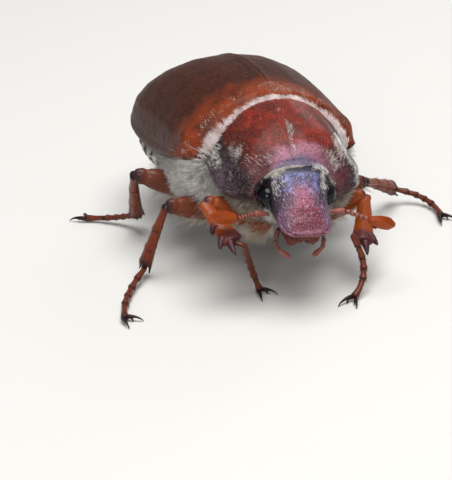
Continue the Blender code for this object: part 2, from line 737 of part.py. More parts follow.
def build():
    shell = material("shell", RED_BROWN, 0.35)
    shield = material("shield", DARK_BROWN, 0.4)
    limbs = material("limbs", ORANGE_BROWN, 0.35)
    fur = material("fur", PALE_FUR, 0.9)
    eyes = material("eyes", BLACK, 0.12)
    feet = material("feet", DARK_CLAW, 0.4)

    nodes = []

    def keep(obj, name, look):
        nodes.append(finish(obj, name, look))
        return obj

    skull = head()
    for side, word in ((1, "left"), (-1, "right")):
        combine(skull, [eye(side, 0.2)], "DIFFERENCE")
        keep(eye(side), f"eye_{word}", eyes)
        keep(elytron(side), f"elytron_{word}", shell)
        keep(antenna_stalk(side), f"antenna_stalk_{word}", limbs)
        keep(antenna_club(side), f"antenna_club_{word}", limbs)
        keep(palp(side), f"palp_{word}", limbs)
    keep(skull, "head", shield)
    keep(mouthparts(), "mouthparts", limbs)

    front = [femur(n, GAP) for n in LEGS if leg_part(n) == "front"]
    rear = [femur(n, GAP) for n in LEGS if leg_part(n) != "front"]
    chest = combine(prosternum(), front + head_room(), "DIFFERENCE")
    keep(chest, "prosternum", fur)
    front = [femur(n, GAP) for n in LEGS if leg_part(n) == "front"]
    keep(combine(pronotum(), front + head_room(), "DIFFERENCE"), "pronotum", shield)
    keep(combine(thorax(), rear + [scutellum(GAP)], "DIFFERENCE"), "thorax", fur)
    rear = [femur(n, GAP) for n in LEGS if leg_part(n) == "hind"]
    keep(combine(abdomen(), rear, "DIFFERENCE"), "abdomen", fur)
    keep(pygidium(), "pygidium", shield)
    keep(scutellum(), "scutellum", shield)
    for word in ("left", "right"):
        combine(bpy.data.objects[f"elytron_{word}"], [scutellum(GAP)], "DIFFERENCE")

    for name in LEGS:
        keep(femur(name), f"femur_{name}", limbs)
        keep(tibia(name), f"tibia_{name}", limbs)
        keep(tarsus(name), f"tarsus_{name}", feet)

    # The origin is under the middle of the whole animal, on the ground
    corners = [v.co for obj in nodes for v in obj.data.vertices]
    centre_x = (min(c.x for c in corners) + max(c.x for c in corners)) / 2
    centre_y = (min(c.y for c in corners) + max(c.y for c in corners)) / 2
    to_metres = Matrix.Scale(MM, 4) @ Matrix.Translation((-centre_x, -centre_y, 0))
    stand = bpy.data.objects.new("cockchafer", None)
    bpy.context.scene.collection.objects.link(stand)
    for obj in nodes:
        obj.data.transform(to_metres)
        obj.data.update()
        obj.parent = stand
    print(f"origin moved by {centre_x:.3f}, {centre_y:.3f} mm")


for old in list(bpy.data.objects):
    bpy.data.objects.remove(old)
build()
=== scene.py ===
import math
import random

import bpy
from mathutils import Matrix, Vector, noise


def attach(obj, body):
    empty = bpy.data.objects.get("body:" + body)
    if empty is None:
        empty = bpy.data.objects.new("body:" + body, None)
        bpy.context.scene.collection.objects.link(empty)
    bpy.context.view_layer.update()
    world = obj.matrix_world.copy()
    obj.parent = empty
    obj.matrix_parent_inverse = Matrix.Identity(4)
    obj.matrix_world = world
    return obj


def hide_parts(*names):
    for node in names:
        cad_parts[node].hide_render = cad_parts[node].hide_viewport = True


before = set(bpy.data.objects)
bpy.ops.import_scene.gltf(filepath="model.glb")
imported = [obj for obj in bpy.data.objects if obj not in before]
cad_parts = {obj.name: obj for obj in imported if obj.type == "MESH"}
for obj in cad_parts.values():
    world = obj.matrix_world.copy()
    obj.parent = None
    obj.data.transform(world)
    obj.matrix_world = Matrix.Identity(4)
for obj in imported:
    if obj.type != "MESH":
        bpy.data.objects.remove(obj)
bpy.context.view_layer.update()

random.seed(11)
noise.seed_set(11)

# Everything is modelled in millimetres on the animal's own axes: head towards -Y, its left side +X
stance = {
    "lift": 2.5, "lean": 7.4, "middle": (0.772, 5.569), "neck": (-0.25, -5.0, 4.4),
    "headTurn": -4, "headNod": 38,
}
groundPose = Matrix.Translation((-stance["middle"][0], -stance["middle"][1], 0))
bodyPose = (
    groundPose @ Matrix.Translation((0, 0, stance["lift"]))
    @ Matrix.Rotation(math.radians(stance["lean"]), 4, "Y")
)
headPose = (
    bodyPose @ Matrix.Translation(stance["neck"])
    @ Matrix.Rotation(math.radians(stance["headTurn"]), 4, "Z")
    @ Matrix.Rotation(math.radians(stance["headNod"]), 4, "X")
)


# Small helpers

sides = ((1, "left"), (-1, "right"))


def sideOf(p):
    return 1 if p.x > 0 else -1


def mirrored(point, side):
    return Vector((side, 1, 1)) * Vector(point)


def choose(*pieces):
    # Selects only these pieces and makes the first one active
    for thing in bpy.context.selected_objects:
        thing.select_set(False)
    for piece in pieces:
        piece.select_set(True)
    if pieces:
        bpy.context.view_layer.objects.active = pieces[0]


def overWholeMesh(piece, *steps):
    # Runs mesh operators over all of a piece
    choose(piece)
    bpy.ops.object.mode_set(mode="EDIT")
    bpy.ops.mesh.select_all(action="SELECT")
    for step in steps:
        step()
    bpy.ops.object.mode_set(mode="OBJECT")


def smoothStep(low, high, value):
    share = min(1.0, max(0.0, (value - low) / (high - low)))
    return share * share * (3 - 2 * share)


def hump(value, middle, width):
    return math.exp(-((value - middle) / width) ** 2)


def curveAt(profile, s):
    # Smooth curve through the (position, value) pairs of a profile
    if s <= profile[0][0]:
        return profile[0][1]
    if s >= profile[-1][0]:
        return profile[-1][1]
    last = len(profile) - 1
    i = max(k for k in range(last) if profile[k][0] <= s)

    def slope(k):
        a, b = profile[max(k - 1, 0)], profile[min(k + 1, last)]
        return (b[1] - a[1]) / (b[0] - a[0])

    (x0, y0), (x1, y1) = profile[i], profile[i + 1]
    h = x1 - x0
    u = (s - x0) / h
    return (
        (2 * u**3 - 3 * u**2 + 1) * y0 + (u**3 - 2 * u**2 + u) * h * slope(i)
        + (3 * u**2 - 2 * u**3) * y1 + (u**3 - u**2) * h * slope(i + 1)
    )


def domeSize(v, start, end):
    # Share of the full size along v, rounded off over the first and last shares of it
    return math.sqrt(max(0.0, 1 - (1 - min(1, v / start, (1 - v) / end)) ** 2))


def roundedCorner(angle, squareness):
    power = 2 / squareness
    c, s = math.cos(angle), math.sin(angle)
    return math.copysign(abs(c) ** power, c), math.copysign(abs(s) ** power, s)


def archShare(share, drop, bulge):
    # Height and width along an arch, share 0 at its top and 1 or -1 at its feet
    # A drop above 1 makes it bell-shaped
    turn = max(-1.0, min(1.0, share)) * math.pi / 2
    return max(0.0, math.cos(turn)) ** drop, math.copysign(abs(math.sin(turn)) ** bulge, share)


def surface(name, across, along, where, tone=None, closed=False):
    # A grid primitive whose points are laid out by where(u, v); tone(u, v) is kept for its material
    choose()
    bpy.ops.mesh.primitive_grid_add(x_subdivisions=across, y_subdivisions=along, size=2, location=(0, 0, 0))
    piece = bpy.context.active_object
    piece.name = piece.data.name = name
    kept = piece.data.attributes.new("tone", "FLOAT", "POINT")
    for point in piece.data.vertices:
        u, v = (point.co.x + 1) / 2, (point.co.y + 1) / 2
        if tone:
            kept.data[point.index].value = tone(u, v)
        point.co = where(u, v)
    steps = [lambda: bpy.ops.mesh.remove_doubles(threshold=0.0005)]
    if closed:
        steps.append(lambda: bpy.ops.mesh.normals_make_consistent(inside=False))
    overWholeMesh(piece, *steps)
    bpy.ops.object.shade_smooth()
    return piece


def ball(name, across, along, where):
    # A closed ball; where(way) gives a point's place and tone for its way from the middle
    def placed(u, v):
        turn, fall = 2 * math.pi * u, math.pi * v
        flat = math.sin(fall)
        return where(Vector((math.cos(turn) * flat, math.sin(turn) * flat, math.cos(fall))))

    place, tone = lambda u, v: placed(u, v)[0], lambda u, v: placed(u, v)[1]
    return surface(name, across, along, place, tone, closed=True)


def raisedPoint(base, u, v, height):
    # A point of a surface, raised off it by height
    point = base(u, v)
    if abs(height) < 1e-6:
        return point
    step = 0.004
    sideways = base(min(u + step, 1), v) - base(max(u - step, 0), v)
    lengthways = base(u, min(v + step, 1)) - base(u, max(v - step, 0))
    normal = sideways.cross(lengthways)
    if normal.length < 1e-12:
        return point
    return point + normal.normalized() * height


def thicken(piece, depth, thinAt=None):
    # thinAt is a corner where the wall thins out, so its inner face stays inside
    if thinAt:
        shares = piece.vertex_groups.new(name="wall")
        for point in piece.data.vertices:
            shares.add([point.index], min(1.0, 0.12 + 0.7 * (point.co - thinAt).length), "REPLACE")
    choose(piece)
    wall = piece.modifiers.new("wall", "SOLIDIFY")
    wall.thickness = depth
    wall.offset = -1
    if thinAt:
        wall.vertex_group = "wall"
    bpy.ops.object.modifier_apply(modifier=wall.name)


def joinPieces(name, parts):
    choose(*parts)
    bpy.ops.object.join()
    joined = bpy.context.active_object
    joined.name = joined.data.name = name
    return joined


def settle(piece, pose, finish, slotName, nodes=()):
    # Puts a finished piece in its place, in metres, with its finish
    piece.data.transform(Matrix.Scale(0.001, 4) @ pose)
    piece.data.materials.clear()
    piece.data.materials.append(materials[finish])
    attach(piece, "root")
    if nodes:
        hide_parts(*nodes)


def limb(name, path, wide, deep, flatSide, sides, rings, tone=None, ends=(0.06, 0.06), relief=None):
    # A closed, round-ended tube along path(v), as wide(v) and deep(v) as half sizes; deep lies along flatSide
    flat = Vector(flatSide).normalized()

    def where(u, v):
        ahead = (path(min(v + 0.01, 1)) - path(max(v - 0.01, 0))).normalized()
        side = ahead.cross(flat).normalized()
        up = side.cross(ahead)
        size = domeSize(v, *ends)
        turn = 2 * math.pi * u
        extra = relief(u, v) if relief else 0.0
        return (
            path(v)
            + side * (math.cos(turn) * (wide(v) + extra) * size)
            + up * (math.sin(turn) * (deep(v) + extra) * size)
        )

    return surface(name, sides, rings, where, tone, closed=True)


def straight(start, end):
    start, end = Vector(start), Vector(end)
    return lambda v: start.lerp(end, v)


def bent(points):
    a, b, c = [Vector(p) for p in points]
    return lambda v: a * (1 - v) ** 2 + b * (2 * v * (1 - v)) + c * v**2


# Finishes

class Value:
    # A number, place or colour worked out by a material's nodes

    def __init__(self, tree, socket):
        self.tree = tree
        self.socket = socket

    def math(self, operation, other):
        return newNode(self.tree, "ShaderNodeMath", {0: self, 1: other}, 0, operation=operation)

    def __add__(self, other):
        return self.math("ADD", other)

    def __sub__(self, other):
        return self.math("SUBTRACT", other)

    def __mul__(self, other):
        return self.math("MULTIPLY", other)

    def ramp(self, low, high, start=0.0, end=1.0):
        inputs = {"Value": self, "From Min": low, "From Max": high, "To Min": start, "To Max": end}
        return newNode(self.tree, "ShaderNodeMapRange", inputs, "Result", interpolation_type="SMOOTHSTEP")

    def blend(self, first, second):
        # The first colour where the value is 0, the second where it is 1
        inputs = {"Factor": self, "A": first, "B": second}
        return newNode(self.tree, "ShaderNodeMix", inputs, "Result", data_type="RGBA")


def feed(tree, target, source):
    # Sets a socket to a number, a vector or a colour, or links it to a value
    if isinstance(source, Value):
        tree.links.new(source.socket, target)
    else:
        target.default_value = (*source, 1) if target.type == "RGBA" else source


def newNode(tree, kind, inputs, output, **settings):
    # Adds a node, feeds its inputs and gives the named output
    node = tree.nodes.new(kind)
    for key, value in settings.items():
        setattr(node, key, value)
    for key, value in inputs.items():
        feed(tree, node.inputs[key], value)
    return Value(tree, node.outputs[output])


class Finish:
    # A material in the making; its places are millimetres along the axes of pose

    def __init__(self, name, pose):
        self.material = bpy.data.materials.new(name)
        self.material.use_nodes = True
        self.tree = self.material.node_tree
        self.shader = self.tree.nodes["Principled BSDF"]
        self.relief = None
        back = pose.inverted()
        inputs = {
            "Vector": newNode(self.tree, "ShaderNodeTexCoord", {}, "Object"), "Scale": (1000, 1000, 1000),
            "Rotation": back.to_euler("XYZ"), "Location": back.translation,
        }
        self.place = newNode(self.tree, "ShaderNodeMapping", inputs, "Vector", vector_type="POINT")

    def axis(self, name):
        return newNode(self.tree, "ShaderNodeSeparateXYZ", {0: self.place}, name)

    def noise(self, scale, detail=3.0, roughness=0.55, place=None):
        inputs = {"Vector": place or self.place, "Scale": scale, "Detail": detail, "Roughness": roughness}
        return newNode(self.tree, "ShaderNodeTexNoise", inputs, "Fac")

    def pits(self, scale, size):
        # Round pits scattered over a surface, 0 in a pit and 1 between them
        inputs = {"Vector": self.place, "Scale": scale}
        cells = newNode(self.tree, "ShaderNodeTexVoronoi", inputs, "Distance", feature="F1")
        return cells.ramp(size * 0.35, size)

    def streaks(self, scale, share):
        # Fine streaks along Y, like hairs lying flat on the horn
        inputs = {"Vector": self.place, "Scale": (scale, scale * 0.18, scale)}
        place = newNode(self.tree, "ShaderNodeMapping", inputs, "Vector", vector_type="POINT")
        return self.noise(1.0, 2.0, place=place).ramp(0.54, 0.68, 0.0, share)

    def bump(self, height, strength, distance):
        # Each bump lies over the one before it; the distance is in millimetres
        inputs = {"Height": height, "Strength": strength, "Distance": distance * 0.001}
        if self.relief:
            inputs["Normal"] = self.relief
        self.relief = newNode(self.tree, "ShaderNodeBump", inputs, 0)
        feed(self.tree, self.shader.inputs["Normal"], self.relief)

    def give(self, colour, roughness, specular=0.5, coat=0.0, coatRoughness=0.03, sheen=0.0):
        values = {
            "Base Color": colour, "Roughness": roughness, "Specular IOR Level": specular,
            "Coat Weight": coat, "Coat Roughness": coatRoughness, "Sheen Weight": sheen,
        }
        for key, value in values.items():
            feed(self.tree, self.shader.inputs[key], value)
        return self.material


def wingCaseHorn():
    horn = Finish("wingCaseHorn", bodyPose)
    y, z = horn.axis("Y"), horn.axis("Z")
    cloud = horn.noise(0.7)
    grain = horn.noise(9.0, 5)
    # Warm red-brown near the base, dark brown further back; the dark rear colour is partly painted shade
    whole = (y + cloud * 3.0).ramp(1.8, 5.4).blend((0.20, 0.032, 0.008), (0.045, 0.011, 0.005))
    whole = cloud.ramp(0.4, 0.75, 0.0, 0.65).blend(whole, (0.024, 0.008, 0.005))
    edge = (z - y.ramp(5, 0.5) * 1.2).ramp(4.0, 3.1)
    whole = (edge * 0.75).blend(whole, (0.03, 0.012, 0.012))
    whole = horn.streaks(12.0, 0.45).blend(whole, (0.12, 0.048, 0.03))
    horn.bump(horn.pits(5.5, 0.5), 0.6, 0.02)
    horn.bump(grain, 0.6, 0.03)
    return horn.give(whole, grain.ramp(0.2, 0.8, 0.4, 0.55), 0.1, 0.08, 0.2)


def shieldHorn():
    horn = Finish("shieldHorn", bodyPose)
    aside, y = horn.axis("X").math("ABSOLUTE", 0.0), horn.axis("Y")
    cloud = horn.noise(1.1, 4)
    fine = horn.noise(9.0, 5, 0.65)
    wander = (cloud - 0.5) * 1.8
    # The dark bands widen towards the front corners; the middle stays red
    sides = aside + wander + y * -0.12
    band = sides.ramp(3.5, 4.1)
    disc = cloud.ramp(0.35, 0.65).blend((0.20, 0.016, 0.006), (0.08, 0.009, 0.006))
    disc = sides.ramp(2.3, 3.7, 0, 0.8).blend(disc, (0.035, 0.007, 0.006))
    # Painted sheen: pale pink and lilac over the middle of the front of the shield, darker towards its sides
    paintedPinkSheen = (aside + wander).ramp(0.9, 2.1).blend((0.33, 0.155, 0.23), (0.06, 0.022, 0.032))
    whole = ((y + wander).ramp(-3.9, -4.7) * 0.8).blend(disc, paintedPinkSheen)
    # Painted reflection of the sky: bluish grey just behind the middle of the front edge
    paintedSkyReflection = (y + aside * 0.15).ramp(-4.6, -4.95) * aside.ramp(2.4, 1.2)
    whole = (paintedSkyReflection * 0.85).blend(whole, (0.10, 0.10, 0.175))
    whole = band.blend(whole, (0.012, 0.007, 0.010))
    whole = sides.ramp(4.3, 4.9, 0, 0.75).blend(whole, (0.055, 0.034, 0.052))
    down = band.blend((0.34, 0.10, 0.06), (0.34, 0.22, 0.22))
    whole = horn.streaks(19.0, 0.46).blend(whole, down)
    pits = horn.pits(7.5, 0.42)
    # Painted shade in the pits: they are darkened
    whole = pits.ramp(0.0, 1.0, 0.65, 0.0).blend(whole, (0.010, 0.005, 0.008))
    horn.bump(pits, 0.8, 0.025)
    horn.bump(fine, 0.35, 0.04)
    return horn.give(whole, fine.ramp(0.25, 0.75, 0.3, 0.44), 0.13, 0.06, 0.2)


def headHorn():
    horn = Finish("headHorn", headPose)
    aside, down, z = horn.axis("X").math("ABSOLUTE", 0.0), horn.axis("Y") * -1.0, horn.axis("Z")
    cloud = horn.noise(1.5, 4)
    fine = horn.noise(12.0, 4)
    dusk = aside + (cloud - 0.5) * 1.4
    lower = down + (cloud - 0.5) * 1.2
    # The bright blue of the forehead's mottling is painted reflection of the sky; the dark blue-grey is its
    # own colour
    brow = cloud.ramp(0.35, 0.65).blend((0.17, 0.19, 0.40), (0.06, 0.05, 0.11))
    brow = lower.ramp(0.7, 1.5).blend(brow, (0.11, 0.055, 0.095))
    brow = dusk.ramp(0.7, 1.4, 0.0, 0.8).blend(brow, (0.035, 0.026, 0.045))
    blush = aside.ramp(1.0, 0.1) * down.ramp(0.0, 1.2)
    brow = (blush * 0.85).blend(brow, (0.34, 0.09, 0.145))
    plate = aside.ramp(0.7, 1.35).blend((0.155, 0.026, 0.045), (0.13, 0.065, 0.115))
    whole = (down + cloud * 0.4).ramp(2.05, 2.5).blend(brow, plate)
    whole = (down.ramp(3.15, 3.6) * 0.7).blend(whole, (0.23, 0.085, 0.12))
    whole = horn.streaks(18.0, 0.55).blend(whole, (0.46, 0.32, 0.38))
    whole = (z.ramp(0.9, 0.3) * 0.85).blend(whole, (0.025, 0.012, 0.018))
    # Painted shade round the eyes, in the pockets they sit in; the narrow arc over the forehead is black as
    # well
    socket = aside.ramp(1.5, 1.8) * down.ramp(1.5, 1.0)
    crown = (down + cloud * 0.5).ramp(0.1, -0.25) * 0.92
    whole = socket.math("MAXIMUM", crown).blend(whole, (0.012, 0.008, 0.012))
    pits = horn.pits(8.5, 0.5)
    # Painted shade in the pits: they are darkened
    whole = pits.ramp(0.0, 1.0, 0.8, 0.0).blend(whole, (0.014, 0.009, 0.018))
    horn.bump(pits, 0.9, 0.03)
    horn.bump(fine, 0.3, 0.02)
    return horn.give(whole, fine.ramp(0.25, 0.75, 0.34, 0.48), 0.17, 0.1, 0.2)


def underHorn():
    horn = Finish("underHorn", bodyPose)
    y, z = horn.axis("Y"), horn.axis("Z")
    cloud = horn.noise(1.4, 4)
    fine = horn.noise(10.0, 4)
    chest = cloud.ramp(0.3, 0.7).blend((0.34, 0.31, 0.27), (0.5, 0.47, 0.43))
    belly = cloud.ramp(0.35, 0.7).blend((0.035, 0.018, 0.014), (0.08, 0.035, 0.02))
    whole = (y + cloud * 1.6).ramp(5.6, 6.8).blend(chest, belly)
    powder = (z + cloud).ramp(2.8, 3.3) * y.ramp(6.0, 6.6) * y.ramp(15.6, 15.0)
    whole = powder.blend(whole, (0.62, 0.58, 0.53))
    whole = y.ramp(-2.6, -4.0).blend(whole, (0.05, 0.035, 0.028))
    horn.bump(horn.pits(6.0, 0.5), 0.6, 0.03)
    return horn.give(whole, fine.ramp(0.2, 0.8, 0.4, 0.6))


def eyeGloss():
    horn = Finish("eyeGloss", headPose)
    horn.bump(horn.pits(26.0, 0.6), 0.12, 0.004)
    return horn.give((0.004, 0.004, 0.006), 0.14, 0.14, 0.22, 0.08)


def limbHorn(name, pale, dark, roughness):
    # Pale where the piece's tone is 0, dark where it is 1
    horn = Finish(name, groundPose)
    cloud = horn.noise(2.2, 4)
    fine = horn.noise(14.0, 3)
    tone = newNode(horn.tree, "ShaderNodeAttribute", {}, "Fac", attribute_name="tone") + (cloud - 0.5) * 0.5
    whole = tone.ramp(0.1, 0.9).blend(pale, dark)
    browner = tuple(0.55 * c for c in pale)
    whole = fine.ramp(0.45, 0.8, 0.0, 0.5).blend(whole, browner)
    horn.bump(horn.pits(8.0, 0.45), 0.5, 0.02)
    horn.bump(cloud, 0.4, 0.05)
    return horn.give(whole, fine.ramp(0.2, 0.8, roughness - 0.06, roughness + 0.12), 0.14, 0.12, 0.12)


def coatFibre(name, pale, dim, patchSize):
    fibre = Finish(name, groundPose)
    whole = fibre.noise(patchSize, 3).ramp(0.35, 0.65).blend(pale, dim)
    whole = fibre.noise(22.0, 2).ramp(0.35, 0.75, 0.0, 0.45).blend(whole, dim)
    return fibre.give(whole, 0.55, 0.35, sheen=0.3)


limbHorns = {
    # Pale colour, dark colour and roughness
    "legHorn": ((0.24, 0.046, 0.008), (0.042, 0.014, 0.024), 0.3),
    "footHorn": ((0.12, 0.027, 0.013), (0.014, 0.005, 0.006), 0.3),
    "clubHorn": ((0.34, 0.06, 0.009), (0.22, 0.036, 0.010), 0.45),
    "thighHorn": ((0.15, 0.040, 0.020), (0.036, 0.012, 0.018), 0.3),
    # The middle and hind shins: legHorn darkened as painted shade
    "shadedShinHorn": ((0.16, 0.027, 0.007), (0.012, 0.005, 0.006), 0.3),
    "stalkHorn": ((0.27, 0.085, 0.065), (0.06, 0.018, 0.014), 0.22),
    "mouthHorn": ((0.12, 0.020, 0.012), (0.018, 0.006, 0.006), 0.2),
}
coatFibres = {
    # Pale colour, dim colour and scale of the patches
    "whiteFur": ((0.97, 0.95, 0.93), (0.46, 0.42, 0.37), 2.6),
    "fringeFur": ((0.96, 0.88, 0.88), (0.66, 0.50, 0.48), 2.0),
    "paleDust": ((0.66, 0.60, 0.66), (0.34, 0.27, 0.31), 1.2),
    "oliveFur": ((0.52, 0.45, 0.34), (0.16, 0.12, 0.08), 2.0),
    "creamHair": ((0.86, 0.80, 0.70), (0.55, 0.47, 0.38), 1.2),
    "wingDown": ((0.30, 0.17, 0.12), (0.12, 0.05, 0.03), 1.2),
    "fineHair": ((0.58, 0.40, 0.32), (0.22, 0.11, 0.08), 1.2),
    "legHair": ((0.78, 0.70, 0.60), (0.45, 0.34, 0.25), 1.2),
}
materials = {maker.__name__: maker() for maker in (wingCaseHorn, shieldHorn, headHorn, underHorn, eyeGloss)}
for name, row in limbHorns.items():
    materials[name] = limbHorn(name, *row)
for name, row in coatFibres.items():
    materials[name] = coatFibre(name, *row)
print("materials made")


# Coats of hair, made of small tapered spikes: want(point) says how thick the coat grows there,
# lie(point) which way it lies and reach(point), if given, how much longer than usual it is

def growCoat(name, skin, pose, settings):
    mesh = skin.data
    mesh.calc_loop_triangles()
    uv = mesh.uv_layers.active.data
    triangles, areas = [], []
    for tri in mesh.loop_triangles:
        a, b, c = [mesh.vertices[i].co for i in tri.vertices]
        middle = (a + b + c) / 3
        share = settings["want"](middle)
        if share > 0 and tri.area > 0:
            triangles.append(tri)
            areas.append(tri.area * share)
    total = sum(areas)
    count = min(settings["most"], int(total * settings["perSquare"]))
    picks = random.choices(range(len(triangles)), weights=areas, k=count)
    points, faces, spots, tufts = [], [], [], 0
    sections = settings.get("sections", 2)
    for pick in picks:
        tri = triangles[pick]
        p, q = random.random(), random.random()
        if p + q > 1:
            p, q = 1 - p, 1 - q
        r = 1 - p - q
        corners = [mesh.vertices[i] for i in tri.vertices]
        root = corners[0].co * p + corners[1].co * q + corners[2].co * r
        normal = (corners[0].normal * p + corners[1].normal * q + corners[2].normal * r).normalized()
        place = [uv[i].uv for i in tri.loops]
        astray = Vector([random.gauss(0, settings["scatter"]) for _ in range(3)])
        flow = Vector(settings["lie"](root)) + astray
        flow += noise.noise_vector(root * 1.4) * settings.get("swirl", 0.3)
        flow -= normal * flow.dot(normal)
        if flow.length < 1e-6:
            continue
        flow.normalize()
        length = settings["length"] * random.uniform(0.6, 1.15)
        if "reach" in settings:
            length *= settings["reach"](root)
        if length < 0.03:
            continue
        rise = settings["rise"] * random.uniform(0.5, 1.5)
        side = flow.cross(normal)
        width = settings["width"] * random.uniform(0.7, 1.2)
        start = root - normal * 0.03
        bend = settings.get("bend", 0.5)
        first = len(points)
        for k in range(sections):
            share = k / sections
            height = rise * length * (share - bend * share * share)
            centre = start + flow * (length * share) + normal * height
            half = width * (1 - 0.45 * share) / 2
            points += [centre - side * half, centre + side * half, centre + normal * half * 1.3]
        points.append(start + flow * length + normal * (rise * length * (1 - bend)))
        faces.append((first, first + 1, first + 2))
        for k in range(sections):
            base = first + 3 * k
            for a, b in ((0, 1), (1, 2), (2, 0)):
                ahead = (base + a + 3, base + b + 3) if k < sections - 1 else (base + 3,)
                faces.append((base + b, base + a, *ahead))
        # The tuft's own corner of the skin's unwrap, about 0.003 across
        x, y = place[0] * p + place[1] * q + place[2] * r
        for k in range(sections):
            low = y + 0.003 * (k / sections) - 0.0015
            spots += [(x - 0.0013, low), (x + 0.0013, low), (x, low)]
        spots.append((x, y + 0.0015))
        tufts += 1
    coat = bpy.data.meshes.new(name)
    coat.from_pydata([tuple(p) for p in points], [], faces)
    unwrap = coat.uv_layers.new(name="OFBake")
    for loop in coat.loops:
        unwrap.data[loop.index].uv = spots[loop.vertex_index]
    piece = bpy.data.objects.new(name, coat)
    bpy.context.scene.collection.objects.link(piece)
    coat.shade_smooth()
    settle(piece, pose, settings["finish"], settings["slot"])
    print(name, tufts, "tufts")


# Wing cases

wingCase = {
    "length": 16.6, "base": 0.32, "halfWidth": 6.3, "wall": 0.35, "suture": 0.03, "bulge": 0.95,
    "ribs": (0.2, 0.4, 0.59, 0.77), "ribHeight": 0.035, "ribWidth": 0.04, "endCorner": (2.3, 16.9, 3.75),
    "widths": [
        (0, 0.82), (0.04, 0.91), (0.1, 0.955), (0.2, 0.965), (0.35, 0.975), (0.6, 1.0), (0.75, 0.975),
        (0.87, 0.85), (0.95, 0.63), (1, 0.36),
    ],
    "tops": [
        (0, 8.75), (0.08, 9.0), (0.2, 9.15), (0.35, 9.1), (0.5, 8.8), (0.65, 8.2), (0.8, 7.1), (0.92, 5.7),
        (1, 4.7),
    ],
    "margins": [
        (0, 5.1), (0.08, 4.7), (0.2, 4.1), (0.4, 3.35), (0.6, 3.1), (0.8, 3.3), (0.92, 3.7), (1, 3.9),
    ],
    "drops": [(0, 1.75), (0.08, 1.45), (0.2, 1.15), (0.4, 0.98), (1, 0.95)],
}


def wingOutline(s):
    return (
        curveAt(wingCase["widths"], s) * wingCase["halfWidth"],
        curveAt(wingCase["tops"], s),
        curveAt(wingCase["margins"], s),
    )


def wingBase(u, v):
    # u runs from the suture round to the rolled side edge, v from the base to the tip
    t, s = u * 1.06, v * 1.02
    half, top, margin = wingOutline(min(s, 1))
    c, w = archShare(t, curveAt(wingCase["drops"], s), wingCase["bulge"])
    gap = wingCase["suture"]
    y = wingCase["base"] + min(s, 1) * wingCase["length"]
    point = Vector((gap + (half - gap) * w, y, margin + (top - margin) * c))
    if t > 1:
        k = (t - 1) / 0.06
        share = 0.25 + 0.75 * smoothStep(0.0, 0.16, 1 - min(s, 1))
        point += Vector((-0.06 * k - 0.16 * k * k, 0, -0.32 * k)) * share
    if s > 1:
        k = (s - 1) / 0.02
        point += Vector((0, 0.06 * math.sin(k * 3), -0.3 * k)) * (1 - 0.7 * smoothStep(0.7, 1.0, t))
    return point


def wingPoint(u, v):
    t, s = u * 1.06, v * 1.02
    fade = min(1.0, max(0.0, (s - 0.02) / 0.12), max(0.0, (1 - s) / 0.15))
    ribs = sum(hump(t, rib, wingCase["ribWidth"]) for rib in wingCase["ribs"])
    height = ribs * wingCase["ribHeight"] * fade
    height += 0.09 * hump(t, 0.0, 0.03) * fade + 0.07 * hump(t, 0.985, 0.03)
    height += 0.26 * hump(s, 0.085, 0.045) * hump(t, 0.7, 0.1)
    height -= 0.32 * (1 - smoothStep(0, 0.04, s)) + 0.05 * hump(s, 1.0, 0.03)
    where = wingBase(u, v)
    height += 0.018 * noise.noise(where * 1.4) + 0.009 * noise.noise(where * 5.0)
    if t > 1:
        height *= 1 - (t - 1) / 0.06
    height *= 1 - smoothStep(0.86, 0.96, t) * smoothStep(0.92, 0.98, s)
    return raisedPoint(wingBase, u, v, height)


def onWing(p):
    return 0.35 + 0.65 * smoothStep(-0.2, 0.3, noise.noise(p * 0.8))


def nearBase(p):
    return max(0.0, 1 - (p.y - 0.3) / 1.5) * (0.12 + 0.88 * smoothStep(0.0, 0.25, noise.noise(p * 1.2)))


wingCoats = {
    "wingHair": {
        "most": 12000, "perSquare": 80, "length": 0.16, "width": 0.01, "rise": 0.25, "scatter": 0.2,
        "sections": 1, "want": onWing, "lie": lambda p: (0, 1, 0), "finish": "wingDown", "slot": "shell",
    },
    "wingFringe": {
        "most": 3600, "perSquare": 150, "length": 0.26, "width": 0.012, "rise": 0.3, "scatter": 0.3,
        "want": nearBase, "lie": lambda p: (0.2 * side, 1, 0), "finish": "creamHair", "slot": "shell",
    },
}
for side, word in sides:
    case = surface("wingCase_" + word, 110, 170, lambda u, v: mirrored(wingPoint(u, v), side))
    if side < 0:
        overWholeMesh(case, bpy.ops.mesh.flip_normals)
    case.data.update()
    for name, settings in wingCoats.items():
        growCoat(name + "_" + word, case, bodyPose, settings)
    thicken(case, wingCase["wall"], mirrored(wingCase["endCorner"], side))
    settle(case, bodyPose, "wingCaseHorn", "shell", ["elytron_" + word])
print("wing cases made")


# Shield behind the head

shield = {
    "front": -5.3, "halfWidth": 4.75, "fold": 0.2, "wall": 0.22, "twist": 0.35, "bulge": 0.95,
    "widths": [
        (-5.3, 0.55), (-4.95, 0.71), (-4.4, 0.83), (-3.4, 0.935), (-2.2, 0.97), (-1.2, 0.965), (0, 0.995),
    ],
    "tops": [(-5.3, 6.0), (-4.4, 6.95), (-3.2, 7.8), (-1.8, 8.4), (-0.7, 8.7), (0, 8.72)],
    "margins": [(-5.3, 4.4), (-4.6, 4.2), (-3.4, 4.05), (-1.8, 4.35), (-0.7, 4.9), (0, 5.3)],
    "drops": [(-5.3, 0.92), (-4.4, 1.0), (-3.0, 1.2), (-1.5, 1.5), (0, 1.75)],
}


